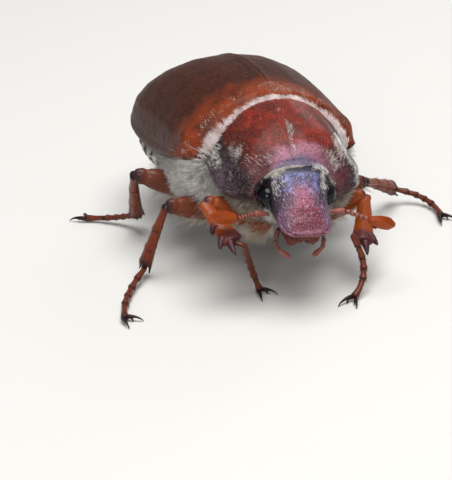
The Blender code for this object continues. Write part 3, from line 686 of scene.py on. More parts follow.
def shieldBase(u, v):
    # u runs from one folded side edge over the top to the other, v from front to rear
    a = (2 * u - 1) * (1 + shield["fold"])
    y = shield["front"] * (1 - v)
    half = curveAt(shield["widths"], y) * shield["halfWidth"]
    top, margin = curveAt(shield["tops"], y), curveAt(shield["margins"], y)
    c, w = archShare(a, curveAt(shield["drops"], y), shield["bulge"])
    bow = 0.0 if y < -0.8 else -0.7 * w * w * (1 - w * w) * (y + 0.8) / 0.8
    # The front edge is drawn a little to the animal's right, and lowered on its left
    twist = shield["twist"] * max(0.0, -4.3 - y) ** 2
    point = Vector((half * w - twist, y + bow, margin + (top - margin) * c - twist * max(0.0, w)))
    if abs(a) > 1:
        k = (abs(a) - 1) / shield["fold"]
        point += Vector((-math.copysign(half * 0.16 * k, a), 0, -0.3 * math.sin(math.pi / 2 * min(1, k * 3))))
    return point


def shieldPoint(u, v):
    a = abs(2 * u - 1) * (1 + shield["fold"])
    where = shieldBase(u, v)
    height = 0.07 * hump(v, 0.012, 0.014) - 0.05 * hump(v, 0.05, 0.016)
    height += (0.09 * hump(a, 0.985, 0.022) - 0.05 * hump(a, 0.925, 0.03)) * smoothStep(0.0, 0.05, v)
    height -= 0.2 * hump(a, 0.62, 0.13) * smoothStep(0.1, 0.45, v) * (1 - smoothStep(0.7, 0.95, v))
    height -= 0.16 * hump(a, 0.5, 0.12) * hump(v, 0.14, 0.1)
    height += 0.1 * hump(a, 0.8, 0.1) * hump(v, 0.35, 0.3)
    height -= 0.05 * hump(where.x, 0, 0.35) * smoothStep(0.1, 0.3, v) * (1 - smoothStep(0.75, 0.95, v))
    height -= 0.12 * smoothStep(0.965, 1.0, v)
    height += 0.02 * noise.noise(where * 1.3) + 0.008 * noise.noise(where * 5)
    if a > 1:
        height *= max(0.0, 1 - (a - 1) / shield["fold"] * 2)
    return raisedPoint(shieldBase, u, v, height)


shieldPiece = surface("shield", 150, 96, shieldPoint)


def shieldFringeWant(p):
    shoulder = 0.2 * smoothStep(2.2, 3.8, abs(p.x))
    thin = 0.5 + 0.5 * smoothStep(-0.2, 0.2, noise.noise(p * 1.6))
    return smoothStep(-0.5 - shoulder, -0.3 - shoulder, p.y) * smoothStep(4.9, 6.2, p.z) * thin


shieldMarks = [
    # Pale patches: place, half sizes and strength
    (-0.14, -3.2, 0.13, 0.4, 1.2), (-0.25, -3.9, 0.09, 0.6, 0.9), (-0.22, -4.6, 0.1, 0.35, 0.7),
    (-3.35, -3.1, 0.26, 0.4, 0.8), (-3.5, -2.2, 0.16, 0.45, 0.5), (3.42, -3.1, 0.2, 0.42, 0.3),
    (-2.4, -4.5, 0.25, 0.3, 0.4), (-4.0, -3.9, 0.4, 0.5, 0.15),
    (-1.9, -4.7, 0.3, 0.25, 0.5), (-2.9, -4.1, 0.22, 0.3, 0.45), (1.3, -4.6, 0.35, 0.2, 0.3),
    (-0.9, -4.6, 0.35, 0.15, 0.3),
    (4.1, -0.9, 0.3, 0.6, 1.0), (3.75, -1.8, 0.26, 0.7, 0.9), (3.2, -3.0, 0.3, 0.6, 1.0),
    (2.75, -4.0, 0.32, 0.55, 1.0), (2.1, -4.8, 0.3, 0.3, 1.0), (3.7, -4.2, 0.4, 0.5, 0.7),
    (-4.2, -0.9, 0.35, 0.5, 0.8), (-4.3, -1.8, 0.18, 0.9, 0.5), (-0.3, -1.8, 0.3, 0.25, 0.25),
]


def shieldPatchWant(p):
    if p.z < 4.0:
        return 0
    white = sum(s * hump(p.x, x, a) * hump(p.y, y, b) for x, y, a, b, s in shieldMarks)
    return min(1.0, max(0.0, white - 0.12))


def shieldDustWant(p):
    x, y = abs(p.x), p.y
    if p.z < 4.0:
        return 0
    sides = smoothStep(2.8, 4.2, x)
    front = smoothStep(-3.8, -4.9, y)
    return 0.18 + 0.6 * max(sides, 0.7 * front) * smoothStep(-0.25, 0.25, noise.noise(p * 1.2))


def shieldSpeckleWant(p):
    # Bluish dust on the side lobes and along the front
    if p.z < 4.0:
        return 0
    lobe = smoothStep(3.1, 3.7, abs(p.x) - 0.12 * p.y)
    return max(lobe, 0.6 * smoothStep(3.9, 4.6, -p.y)) * smoothStep(-0.15, 0.3, noise.noise(p * 1.8))


def shieldFrontWant(p):
    return smoothStep(5.08, 5.18, -p.y) * smoothStep(-2.6, -2.0, -abs(p.x))


def shieldLie(p):
    return (0.35 * sideOf(p) * min(1, abs(p.x)), 1, 0.1)


shieldCoats = {
    "shieldFringe": {
        "most": 9000, "perSquare": 760, "length": 0.62, "width": 0.026, "rise": 0.7, "scatter": 0.36,
        "bend": 0.6, "swirl": 0.6, "reach": lambda p: 1 + 0.35 * smoothStep(2.2, 3.8, abs(p.x)),
        "want": shieldFringeWant, "lie": shieldLie, "finish": "fringeFur", "slot": "fur",
    },
    "shieldPatches": {
        "most": 9000, "perSquare": 420, "length": 0.38, "width": 0.014, "rise": 0.4, "scatter": 0.28,
        "swirl": 0.6, "want": shieldPatchWant, "lie": shieldLie, "finish": "whiteFur", "slot": "fur",
    },
    "shieldDust": {
        "most": 12000, "perSquare": 100, "length": 0.32, "width": 0.011, "rise": 0.4, "scatter": 0.25,
        "sections": 1, "swirl": 0.5, "want": shieldDustWant, "lie": shieldLie,
        "finish": "fineHair", "slot": "shield",
    },
    "shieldSpeckle": {
        "most": 6000, "perSquare": 420, "length": 0.15, "width": 0.015, "rise": 0.4, "scatter": 0.3,
        "sections": 1, "swirl": 0.5, "want": shieldSpeckleWant, "lie": shieldLie,
        "finish": "paleDust", "slot": "shield",
    },
    "shieldFront": {
        "most": 2600, "perSquare": 900, "length": 0.22, "width": 0.02, "rise": 0.35, "scatter": 0.2,
        "bend": 1.2, "want": shieldFrontWant, "lie": lambda p: (0, -1, -0.5),
        "finish": "creamHair", "slot": "fur",
    },
}
for name, settings in shieldCoats.items():
    growCoat(name, shieldPiece, bodyPose, settings)
thicken(shieldPiece, shield["wall"])
settle(shieldPiece, bodyPose, "shieldHorn", "shield", ["pronotum"])

# Small plate between the wing cases
plate = {"start": 0.25, "halfWidth": 1.15, "length": 1.7, "top": 8.9, "depth": 0.5}


def platePoint(u, v):
    turn = 2 * math.pi * u
    c, w = roundedCorner(turn, 2.4)
    size = min(1.0, v * 2)
    x = plate["halfWidth"] * c * size
    y = plate["start"] + plate["length"] * (0.5 + 0.5 * w * size)
    x *= 1 - 0.35 * max(0.0, (y - plate["start"]) / plate["length"]) ** 2
    z = plate["top"] - 0.14 * x * x + 0.1 * (1 - size**4) + 0.2 * (y - 1.0)
    if v > 0.5:
        z -= plate["depth"] * (v - 0.5) * 2
    return Vector((x, y, z))


platePiece = surface("middlePlate", 48, 24, platePoint, closed=True)
plateHair = {
    **wingCoats["wingFringe"], "want": lambda p: smoothStep(8.8, 8.9, p.z),
    "lie": lambda p: (0, 1, 0), "slot": "shield",
}
growCoat("plateHair", platePiece, bodyPose, plateHair)
settle(platePiece, bodyPose, "wingCaseHorn", "shield", ["scutellum"])
print("shield made")


# Body under the wing cases

trunk = {
    "belly": [(0.0, 1.1), (1.0, 0.35), (3.0, 0.1), (6.0, 0.2), (10.0, 0.35), (13.0, 0.8), (15.6, 1.7)],
    "start": 0.2, "end": 15.7, "abdomenStart": 6.3, "abdomenEnd": 15.4, "segments": 6, "furDepth": 0.3,
}


def trunkBase(u, v):
    # u goes round: over the back, down the left side, under the belly and up the right side
    y = trunk["start"] + (trunk["end"] - trunk["start"]) * v
    size = domeSize(v, 0.02, 0.02)
    half, top, margin = wingOutline((y - 0.4) / wingCase["length"])
    under = 1.05 + 0.5 * max(0.0, (y - 11.0) / 4.4) + 0.2 * max(0.0, 1.5 - y)
    under += 1.0 * smoothStep(14.2, 15.7, y)
    furry = trunk["furDepth"] * (1 - smoothStep(5.4, 6.6, y))
    sideHalf, sideTop = half - max(0.6, under - 0.6) - furry, margin - 1.1
    belly = curveAt(trunk["belly"], y) + furry
    if u < 0.4:
        drop = curveAt(wingCase["drops"], (y - 0.4) / wingCase["length"])
        c, w = archShare(u / 0.2 - 1, drop, wingCase["bulge"])
        x, z = (half - under) * w, margin + (top - under - margin) * c
    elif u < 0.46:
        k = (u - 0.4) / 0.06
        x, z = (half - under) * (1 - k) + sideHalf * k, margin + (sideTop - margin) * k
    elif u < 0.94:
        c, w = roundedCorner(math.pi * (u - 0.46) / 0.48, 2.3)
        x, z = sideHalf * c, sideTop - (sideTop - belly) * w
    else:
        k = (u - 0.94) / 0.06
        x, z = -(sideHalf * (1 - k) + (half - under) * k), sideTop + (margin - sideTop) * k
    middle = (belly + top) / 2
    return Vector((x * size, y, middle + (z - middle) * size))


def ringShare(y):
    # How far along its own ring of the abdomen a place is
    length = trunk["abdomenEnd"] - trunk["abdomenStart"]
    return (y - trunk["abdomenStart"]) / length * trunk["segments"] % 1


def trunkPoint(u, v):
    point = trunkBase(u, v)
    height = 0.03 * noise.noise(point * 1.1)
    if point.y > trunk["abdomenStart"] and 0.4 < u:
        # Each ring of the abdomen swells towards its hind edge, then drops to the next
        share = ringShare(point.y)
        height += 0.06 * share - 0.09 * smoothStep(0.9, 0.98, share) - 0.02
    return raisedPoint(trunkBase, u, v, -height)


trunkPiece = surface("trunk", 160, 190, trunkPoint, closed=True)


def flankWant(p):
    if p.y > 6.6 or p.z > 5.0:
        return 0
    ragged = p.y + 1.2 * noise.noise(p * 0.9)
    return smoothStep(0.25, 0.5, p.y) * smoothStep(0.8, 1.8, p.z) * (1 - smoothStep(4.6, 6.4, ragged))


def chestWant(p):
    if p.y > 6.4 or p.z > 2.2:
        return 0
    return 1 - smoothStep(1.3, 2.2, p.z)


def abdomenWant(p):
    if p.y < 6.0 or p.z > 4.0:
        return 0
    return 0.35 + 0.65 * smoothStep(3.0, 4.6, abs(p.x))


def triangleWant(p):
    # White triangles along the sides, one to a ring, wide at the ring's front edge
    if p.y < 6.2 or p.y > 15.3 or p.z > 4.5 or p.z < 1.0:
        return 0
    share = ringShare(p.y)
    reach = (p.z - 1.5) / 1.9
    inside = 0.06 < share < 0.92 and reach > share * 0.8 - 0.1
    return 1 if inside or p.z > 2.4 + 0.4 * noise.noise(p * 2) else 0


trunkCoats = {
    "flankFur": {
        "most": 19000, "perSquare": 400, "length": 1.55, "width": 0.034, "rise": 0.75, "scatter": 0.28,
        "swirl": 0.9, "want": flankWant, "lie": lambda p: (0.25 * sideOf(p), 1, -0.45),
        "finish": "whiteFur", "slot": "fur",
    },
    "chestFur": {
        "most": 14000, "perSquare": 240, "length": 0.9, "width": 0.034, "rise": 0.5, "scatter": 0.3,
        "bend": 0.55, "swirl": 0.5,
        "want": chestWant, "lie": lambda p: (0.3 * sideOf(p), 1, -0.2), "finish": "oliveFur", "slot": "fur",
    },
    "abdomenHair": {
        "most": 9000, "perSquare": 45, "length": 0.35, "width": 0.016, "rise": 0.25, "scatter": 0.2,
        "want": abdomenWant, "lie": lambda p: (0, 1, -0.1), "finish": "creamHair", "slot": "fur",
    },
    "abdomenWhite": {
        "most": 17000, "perSquare": 480, "length": 0.45, "width": 0.04, "rise": 0.3, "scatter": 0.25,
        "want": triangleWant, "lie": lambda p: (0, 1, -0.2), "finish": "whiteFur", "slot": "fur",
    },
}
for name, settings in trunkCoats.items():
    growCoat(name, trunkPiece, bodyPose, settings)
settle(trunkPiece, bodyPose, "underHorn", "fur", ["thorax", "abdomen"])

# Underside of the shield's ring
collar = {
    "start": -5.0, "length": 5.25, "furDepth": 0.25,
    "floors": [(-5.2, 2.6), (-4.0, 1.8), (-2.5, 1.3), (0.3, 1.25)],
}


def collarPoint(u, v):
    y = collar["start"] + collar["length"] * v
    size = domeSize(v, 0.05, 0.05)
    half = curveAt(shield["widths"], y) * shield["halfWidth"] * 0.9 - collar["furDepth"] * 0.6
    roof = curveAt(shield["margins"], y) + 0.4
    floor = curveAt(collar["floors"], y) + collar["furDepth"]
    c, w = roundedCorner(2 * math.pi * u, 2.0)
    middle = curveAt(shield["margins"], y) - 0.4
    z = middle + ((roof - middle) * w if w > 0 else (middle - floor) * w)
    point = Vector((half * c * size, y, middle + (z - middle) * size))
    return point + Vector((0, 0, 0.02 * noise.noise(point)))


collarPiece = surface("collar", 110, 60, collarPoint, closed=True)
collarFur = {
    "most": 16000, "perSquare": 280, "length": 0.75, "width": 0.028, "rise": 0.6, "scatter": 0.3,
    "swirl": 0.5, "want": lambda p: 1 if p.z < 3.9 else 0, "lie": lambda p: (0.35 * sideOf(p), 0.6, -0.45),
    "finish": "oliveFur", "slot": "fur",
}
growCoat("collarFur", collarPiece, bodyPose, collarFur)
settle(collarPiece, bodyPose, "underHorn", "fur", ["prosternum"])

# Tail plate
tail = {
    "start": 15.5, "length": 4.7,
    "widths": [(15.5, 3.6), (16.1, 3.8), (17.0, 3.1), (18.4, 1.75), (19.5, 0.85), (20.2, 0.45)],
    "tops": [(15.5, 3.3), (16.9, 3.15), (18.4, 2.3), (19.5, 1.2), (20.2, 0.75)],
    "bottoms": [(15.5, 1.75), (17.0, 1.0), (18.4, 0.5), (19.5, 0.3), (20.2, 0.25)],
}


def tailPoint(u, v):
    y = tail["start"] + tail["length"] * v
    size = domeSize(v, 0.05, 0.06)
    half, top, bottom = curveAt(tail["widths"], y), curveAt(tail["tops"], y), curveAt(tail["bottoms"], y)
    c, w = roundedCorner(2 * math.pi * u, 2.4)
    point = Vector((half * c * size, y, (top + bottom) / 2 + (top - bottom) / 2 * w * size))
    keel = 0.05 * hump(point.x, 0, 0.3) * (1 if w > 0 else 0)
    return point + Vector((0, 0, keel + 0.03 * noise.noise(point * 1.2)))


tailPiece = surface("tailPlate", 90, 90, tailPoint, closed=True)
tailHair = {
    "most": 4500, "perSquare": 60, "length": 0.3, "width": 0.014, "rise": 0.25, "scatter": 0.22,
    "want": lambda p: 1 if p.y > 15.8 else 0, "lie": lambda p: (0, 1, -0.5),
    "finish": "creamHair", "slot": "shield",
}
growCoat("tailHair", tailPiece, bodyPose, tailHair)
settle(tailPiece, bodyPose, "underHorn", "shield", ["pygidium"])
print("trunk made")


# Head

head = {
    "rows": [
        (-1.25, 1.85, 1.15, -1.3), (-0.9, 2.15, 1.4, -1.75), (-0.2, 2.2, 1.52, -2.0), (0.5, 2.0, 1.5, -1.95),
        (1.1, 1.78, 1.43, -1.6), (1.45, 1.7, 1.38, -1.1), (1.8, 1.68, 1.34, -0.6), (2.5, 1.68, 1.24, -0.05),
        (3.0, 1.65, 1.2, 0.3), (3.35, 1.54, 1.22, 0.48), (3.6, 1.34, 1.22, 0.6), (3.76, 1.1, 1.18, 0.68),
        (3.86, 0.8, 1.1, 0.78),
    ],
    "start": -1.25, "length": 5.11, "squareness": 2.7, "suture": 2.1,
}
headProfiles = [[(row[0], row[k]) for row in head["rows"]] for k in (1, 2, 3)]


def headBase(u, v):
    # u goes round the head, v runs from the neck down the face to the front edge
    down = head["start"] + head["length"] * v
    half, face, throat = [curveAt(profile, down) for profile in headProfiles]
    size = domeSize(v, 0.05, 0.012)
    c, w = roundedCorner(2 * math.pi * u, head["squareness"])
    return Vector((half * c * size, -down, (face + throat) / 2 + (face - throat) / 2 * w * size))


def headPoint(u, v):
    down = head["start"] + head["length"] * v
    c, w = roundedCorner(2 * math.pi * u, head["squareness"])
    onFace = smoothStep(0.3, 0.9, w)
    point = headBase(u, v)
    height = -0.035 * hump(down, head["suture"] + 0.12 * (point.x / 1.9) ** 2, 0.06) * onFace
    plateShare = smoothStep(2.0, 2.6, down)
    height -= 0.2 * onFace * plateShare * hump(point.x, 0, 1.1) * (1 - smoothStep(3.1, 3.6, down))
    height += 0.1 * plateShare * hump(abs(c), 0.95, 0.08) * smoothStep(0.0, 0.5, w)
    height += 0.1 * hump(down, 3.62, 0.16) * smoothStep(0.1, 0.6, w)
    height += 0.05 * hump(down, 0.5, 0.5) * hump(point.x, 0, 0.9) * onFace
    height += 0.012 * noise.noise(point * 2.0) + 0.007 * noise.noise(point * 8.0)
    return raisedPoint(headBase, u, v, -height)


headPiece = surface("headCase", 170, 150, headPoint, closed=True)


def browWant(p):
    # Cream scales beside and behind the eyes, and along the neck
    down = -p.y
    if p.z < 0.1:
        return 0
    beside = hump(abs(p.x), 1.42 + 0.1 * down, 0.26) * hump(down, -0.1, 0.8)
    behind = smoothStep(0.35, 0.6, -down) * smoothStep(0.75, 1.1, abs(p.x))
    return min(1.0, max(0.0, 1.3 * beside + behind - 0.15)) * smoothStep(-0.4, 0.1, noise.noise(p * 2.6))


def faceDustAndHighlightWant(p):
    if p.z < 0.2:
        return 0
    # Painted highlight: a small dense spot of cream hairs low on the middle of the front plate; elsewhere a
    # thin dust of hairs, thinner on the front plate
    paintedHighlight = 4.0 * hump(p.x, 0.05, 0.12) * hump(-p.y, 3.05, 0.12)
    return min(1.0, paintedHighlight + (0.1 + 0.2 * hump(abs(p.x), 1.3, 0.5)) * (1 - 0.75 * smoothStep(2.0, 2.4, -p.y)))


def cheekWant(p):
    # Tufts under the eyes and on the throat
    down = -p.y
    return 1 if p.z < -0.2 and -1.0 < down < 1.6 and (abs(p.x) > 1.0 or p.z < -1) else 0


headCoats = {
    "browHair": {
        "most": 4500, "perSquare": 620, "length": 0.36, "width": 0.024, "rise": 0.45, "scatter": 0.35,
        "swirl": 0.6, "want": browWant, "lie": lambda p: (-0.5 * sideOf(p), -1, 0),
        "finish": "whiteFur", "slot": "fur",
    },
    "faceDustAndHighlight": {
        "most": 3200, "perSquare": 400, "length": 0.13, "width": 0.01, "rise": 0.6, "scatter": 0.3,
        "sections": 1, "want": faceDustAndHighlightWant, "lie": lambda p: (0, -1, 0),
        "finish": "creamHair", "slot": "fur",
    },
    "cheekHair": {
        "most": 4200, "perSquare": 260, "length": 0.8, "width": 0.022, "rise": 0.6, "scatter": 0.35,
        "want": cheekWant, "lie": lambda p: (sideOf(p), -0.3, -0.15), "finish": "whiteFur", "slot": "fur",
    },
}
for name, settings in headCoats.items():
    growCoat(name, headPiece, headPose, settings)
settle(headPiece, headPose, "headHorn", "shield", ["head"])

eye = {"centre": (1.84, -0.42, -0.04), "radii": (0.68, 0.74, 0.8), "innerSwell": 0.85}
for side, word in sides:
    def eyePoint(way):
        # A little flatter on the inner side, as the eye sits in the head
        swell = 1.0 if way.x * side > 0 else eye["innerSwell"]
        return centre + way * Vector(eye["radii"]) * Vector((swell, 1, 1)), 0

    centre = mirrored(eye["centre"], side)
    eyeBall = ball("eyeBall_" + word, 40, 24, eyePoint)
    settle(eyeBall, headPose, "eyeGloss", "eyes", ["eye_" + word])


# Feelers, each a stalk and a closed fan of six leaves

feeler = {
    # Root, bend and end of the stalk and tip of the fan, by side
    "left": [(2.15, -1.4, -0.45), (3.0, -1.48, -0.4), (4.3, -2.1, -0.45), (6.1, -2.55, -0.7)],
    "right": [(-2.1, -1.35, -0.45), (-2.8, -1.4, -0.3), (-3.75, -1.6, -0.4), (-5.5, -1.25, -0.6)],
    "beads": 5, "leaves": 6, "fanWidth": 0.6, "leafThickness": 0.13,
}
for word in ("left", "right"):
    root, bend, neck, tip = [Vector(p) for p in feeler[word]]
    beadWidth = lambda v: 0.12 + 0.04 * hump(v, 0.68, 0.3)
    joints = [limb(
        "scape", straight(root - (bend - root) * 0.5, bend),
        lambda v: 0.13 + 0.1 * smoothStep(0.3, 0.8, v), lambda v: 0.12 + 0.09 * smoothStep(0.3, 0.8, v),
        (0, 0, 1), 20, 20, lambda u, v: 0.25 + 0.5 * hump(v, 0.0, 0.1), (0.08, 0.14),
    )]
    for bead in range(feeler["beads"]):
        a = bend.lerp(neck, (bead - 0.1) / feeler["beads"])
        b = bend.lerp(neck, (bead + 1.05) / feeler["beads"])
        joints.append(limb(
            "bead", straight(a, b), beadWidth, beadWidth, (0, 0, 1), 14, 9,
            lambda u, v: 0.25 + 0.6 * hump(v, 0.0, 0.25), (0.2, 0.25),
        ))
    stalk = joinPieces("feelerStalk_" + word, joints)
    settle(stalk, headPose, "stalkHorn", "limbs", ["antenna_stalk_" + word])
    ahead = (tip - neck).normalized()
    across = ahead.cross(Vector((0, 0, 1))).normalized()
    leaves = []
    for leaf in range(feeler["leaves"]):
        offset = (leaf - (feeler["leaves"] - 1) / 2) / feeler["leaves"] * feeler["fanWidth"]
        start = neck + across * offset * 0.45 + ahead * 0.06
        end = tip + across * offset - ahead * 0.12 * abs(leaf - 2.5)
        leaves.append(limb(
            "leaf", straight(start, end), lambda v: feeler["leafThickness"] / 2,
            lambda v: 0.08 + 0.37 * math.sin(math.pi * (0.04 + 0.84 * v)) ** 0.8, (0, 0, 1), 24, 40,
            lambda u, v: 0.55 * hump(v, 0.0, 0.2), (0.05, 0.12),
        ))
    fan = joinPieces("feelerFan_" + word, leaves)
    settle(fan, headPose, "clubHorn", "limbs", ["antenna_club_" + word])

# Mouth: palps, and lip and jaws under the front edge of the head

palp = {
    "points": [
        (1.3, -2.2, -0.8), (1.52, -2.85, -1.15), (1.49, -3.15, -1.29), (1.38, -3.4, -1.38),
        (0.68, -3.92, -1.5),
    ],
    "joints": 4,
}
for side, word in sides:
    stops = [mirrored(point, side) for point in palp["points"]]
    joints = []
    for k in range(palp["joints"]):
        a, b = stops[k], stops[k + 1]
        last = k == palp["joints"] - 1
        joints.append(limb(
            "joint", straight(a - (b - a) * 0.08, b),
            lambda v: 0.1 + (0.075 if last else 0.05) * hump(v, 0.6, 0.4),
            lambda v: 0.1 + 0.05 * hump(v, 0.62, 0.4), (0, 0, 1), 18, 20,
            lambda u, v: (0.1 if last else 0.55) + 0.5 * hump(v, 0.0, 0.2), (0.15, 0.25 if last else 0.2),
        ))
    feelers = joinPieces("mouthFeeler_" + word, joints)
    settle(feelers, headPose, "stalkHorn", "limbs", ["palp_" + word])

mouth = {
    "base": ((0, -2.3, -0.8), (1.2, 0.85, 0.6)), "jaw": ((0.58, -2.75, -0.75), (0.48, 0.75, 0.5)),
    "lobe": ((0.5, -3.3, -0.12), (0.5, 0.42, 0.36)), "lip": ((0, -3.35, 0.25), (0.95, 0.35, 0.3)),
}
lobes = []
for key in mouth:
    for side in (1, -1) if key in ("jaw", "lobe") else (1,):
        def lobePoint(way):
            dent = 0.12 * hump(way.x * side, -0.2, 0.35) * (1 if way.y < 1e-6 else 0)
            way *= 1 - dent + 0.04 * noise.noise(way * 2.2 + Vector((side, 0, 3)))
            # Painted shade: the tone darkens each lobe towards its back, under the head's front edge, and on
            # one side, towards the gaps between the lobes
            tone = 0.2 + 0.5 * smoothStep(-0.3, 0.6, way.y) + 0.3 * hump(way.x * side, -0.8, 0.4)
            return mirrored(centre, side) + way * Vector(radii), tone

        centre, radii = mouth[key]
        lobes.append(ball("lobe", 28, 18, lobePoint))
mouthPiece = joinPieces("mouth", lobes)
settle(mouthPiece, headPose, "mouthHorn", "limbs", ["mouthparts"])
print("head made")


# Legs: joints over the ground, then the start, pull and end of each foot's curve

legs = {
    "front_right": {
        "hip": (-1.65, -3.0, 4.5), "knee": (-4.95, -2.8, 6.3), "ankle": (-4.15, -5.8, 4.65),
        "start": (-3.55, -6.1, 4.45), "pull": (-2.6, -3.5, 1.5), "foot": (-2.3, -4.2), "claws": (0.4, -1.0),
    },
    "front_left": {
        "hip": (2.1, -3.0, 4.0), "knee": (5.65, -2.2, 4.3), "ankle": (4.2, -5.5, 2.65),
        "start": (3.45, -5.9, 3.5), "pull": (4.4, -6.9, 1.2), "foot": (2.55, -7.9), "claws": (-0.8, -0.9),
    },
    "middle_right": {
        "hip": (-2.25, 1.7, 3.5), "knee": (-6.6, 0.6, 5.1), "ankle": (-8.2, 1.6, 1.0),
        "start": (-8.4, 1.3, 0.75), "pull": (-10.7, -1.4, 0.3), "foot": (-11.0, -4.0), "claws": (0.6, -1.0),
    },
    "middle_left": {
        "hip": (2.5, 1.7, 3.4), "knee": (7.1, 1.7, 3.5), "ankle": (10.0, 4.8, 1.3),
        "start": (10.4, 4.75, 1.1), "pull": (12.6, 4.1, 0.4), "foot": (12.0, 1.0), "claws": (0.2, -1.0),
    },
    "hind_right": {
        "hip": (-2.45, 5.0, 3.4), "knee": (-7.4, 5.6, 5.6), "ankle": (-6.9, 8.9, 1.5),
        "start": (-7.0, 9.3, 1.2), "pull": (-7.6, 11.0, 0.4), "foot": (-9.8, 12.6), "claws": (-0.5, 1.0),
    },
    "hind_left": {
        "hip": (2.7, 5.0, 3.2), "knee": (6.9, 6.8, 3.9), "ankle": (7.2, 11.0, 1.3),
        "start": (7.35, 11.4, 1.1), "pull": (7.9, 13.0, 0.4), "foot": (9.3, 14.6), "claws": (0.5, 1.0),
    },
}
legShape = {
    "hip": (0.93, 1.0, 0.93),
    "thigh": {"front": 0.80, "middle": 0.80, "hind": 0.82},
    "shin": {"front": 0.68, "middle": 0.5, "hind": 0.56},
    # Painted shade: raised tones darken the middle and hind legs, the hind thighs most
    "thighShade": {"front": 0.0, "middle": 0.1, "hind": 0.3},
    "shinShade": {"front": 0.0, "middle": 0.1, "hind": 0.1},
    "thighProfile": [(0, 0.72), (0.12, 0.8), (0.38, 1), (0.65, 0.93), (0.85, 0.68), (0.95, 0.56), (1, 0.5)],
    "shinProfile": [(0, 0.56), (0.06, 0.66), (0.14, 0.6), (0.4, 0.74), (0.7, 0.88), (0.93, 1.04), (1, 0.98)],
    "toeRadius": 0.235, "toeJoints": 5, "lastShare": 0.34, "clawRadius": 0.135,
}
thighHair = {
    "most": 1200, "perSquare": 60, "length": 0.8, "width": 0.018, "rise": 1.1, "scatter": 0.4, "bend": 0.3,
    "finish": "legHair", "slot": "limbs",
}
shinHair = {
    "most": 260, "perSquare": 18, "length": 0.26, "width": 0.014, "rise": 0.6, "scatter": 0.25, "bend": 0.3,
    "finish": "wingDown", "slot": "limbs",
}


def spike(name, root, tip, radius, curve=(0, 0, 0), tone=0.95):
    # A tapered, slightly bent thorn
    root, tip = Vector(root), Vector(tip)
    middle = (root + tip) / 2 + Vector(curve)
    taper = lambda v: radius * (1 - 0.85 * v)
    return limb(
        name, bent((root, middle, tip)), taper, taper, (0.13, 0.31, 1), 12, 12,
        lambda u, v: tone + (1.1 - tone) * smoothStep(0.2, 0.8, v), (0.05, 0.12),
    )


def makeThigh(name, leg, kind):
    hip, knee = Vector(leg["hip"]), Vector(leg["knee"])
    size = legShape["thigh"][kind]
    away = (knee - hip).normalized()
    # dusk is the painted shade of this thigh
    dusk = legShape["thighShade"][kind]
    path = bent((hip, (hip + knee) / 2 + Vector((0, 0, 0.12)), knee + away * 0.1))
    width = lambda v: size * curveAt(legShape["thighProfile"], v)
    thigh = limb(
        "thigh", path, width, lambda v: 0.74 * width(v), (0, 1, 0), 44, 60,
        lambda u, v: dusk + 0.25 * hump(v, 0.0, 0.2) + 0.85 * smoothStep(0.86, 0.98, v), (0.08, 0.05),
        lambda u, v: 0.05 * hump(v, 0.9, 0.03) - 0.04 * hump(v, 0.84, 0.03),
    )

    def hipPoint(way):
        return hip + way * Vector(legShape["hip"]) * (1 + 0.05 * noise.noise(way * 1.7)), 0.3

    socket = ball("hip", 36, 24, hipPoint)
    piece = joinPieces("thigh_" + name, [thigh, socket])

    def onThigh(p):
        low = (hip.lerp(knee, 0.5).z - p.z) / size
        return max(0.0, 0.12 + low)

    hair = {**thighHair, "want": onThigh, "lie": lambda p: away + Vector((0, 0.25, -0.7))}
    growCoat("thighHair_" + name, piece, groundPose, hair)
    finish = "legHorn" if kind == "front" else "thighHorn"
    settle(piece, groundPose, finish, "limbs", ["femur_" + name])


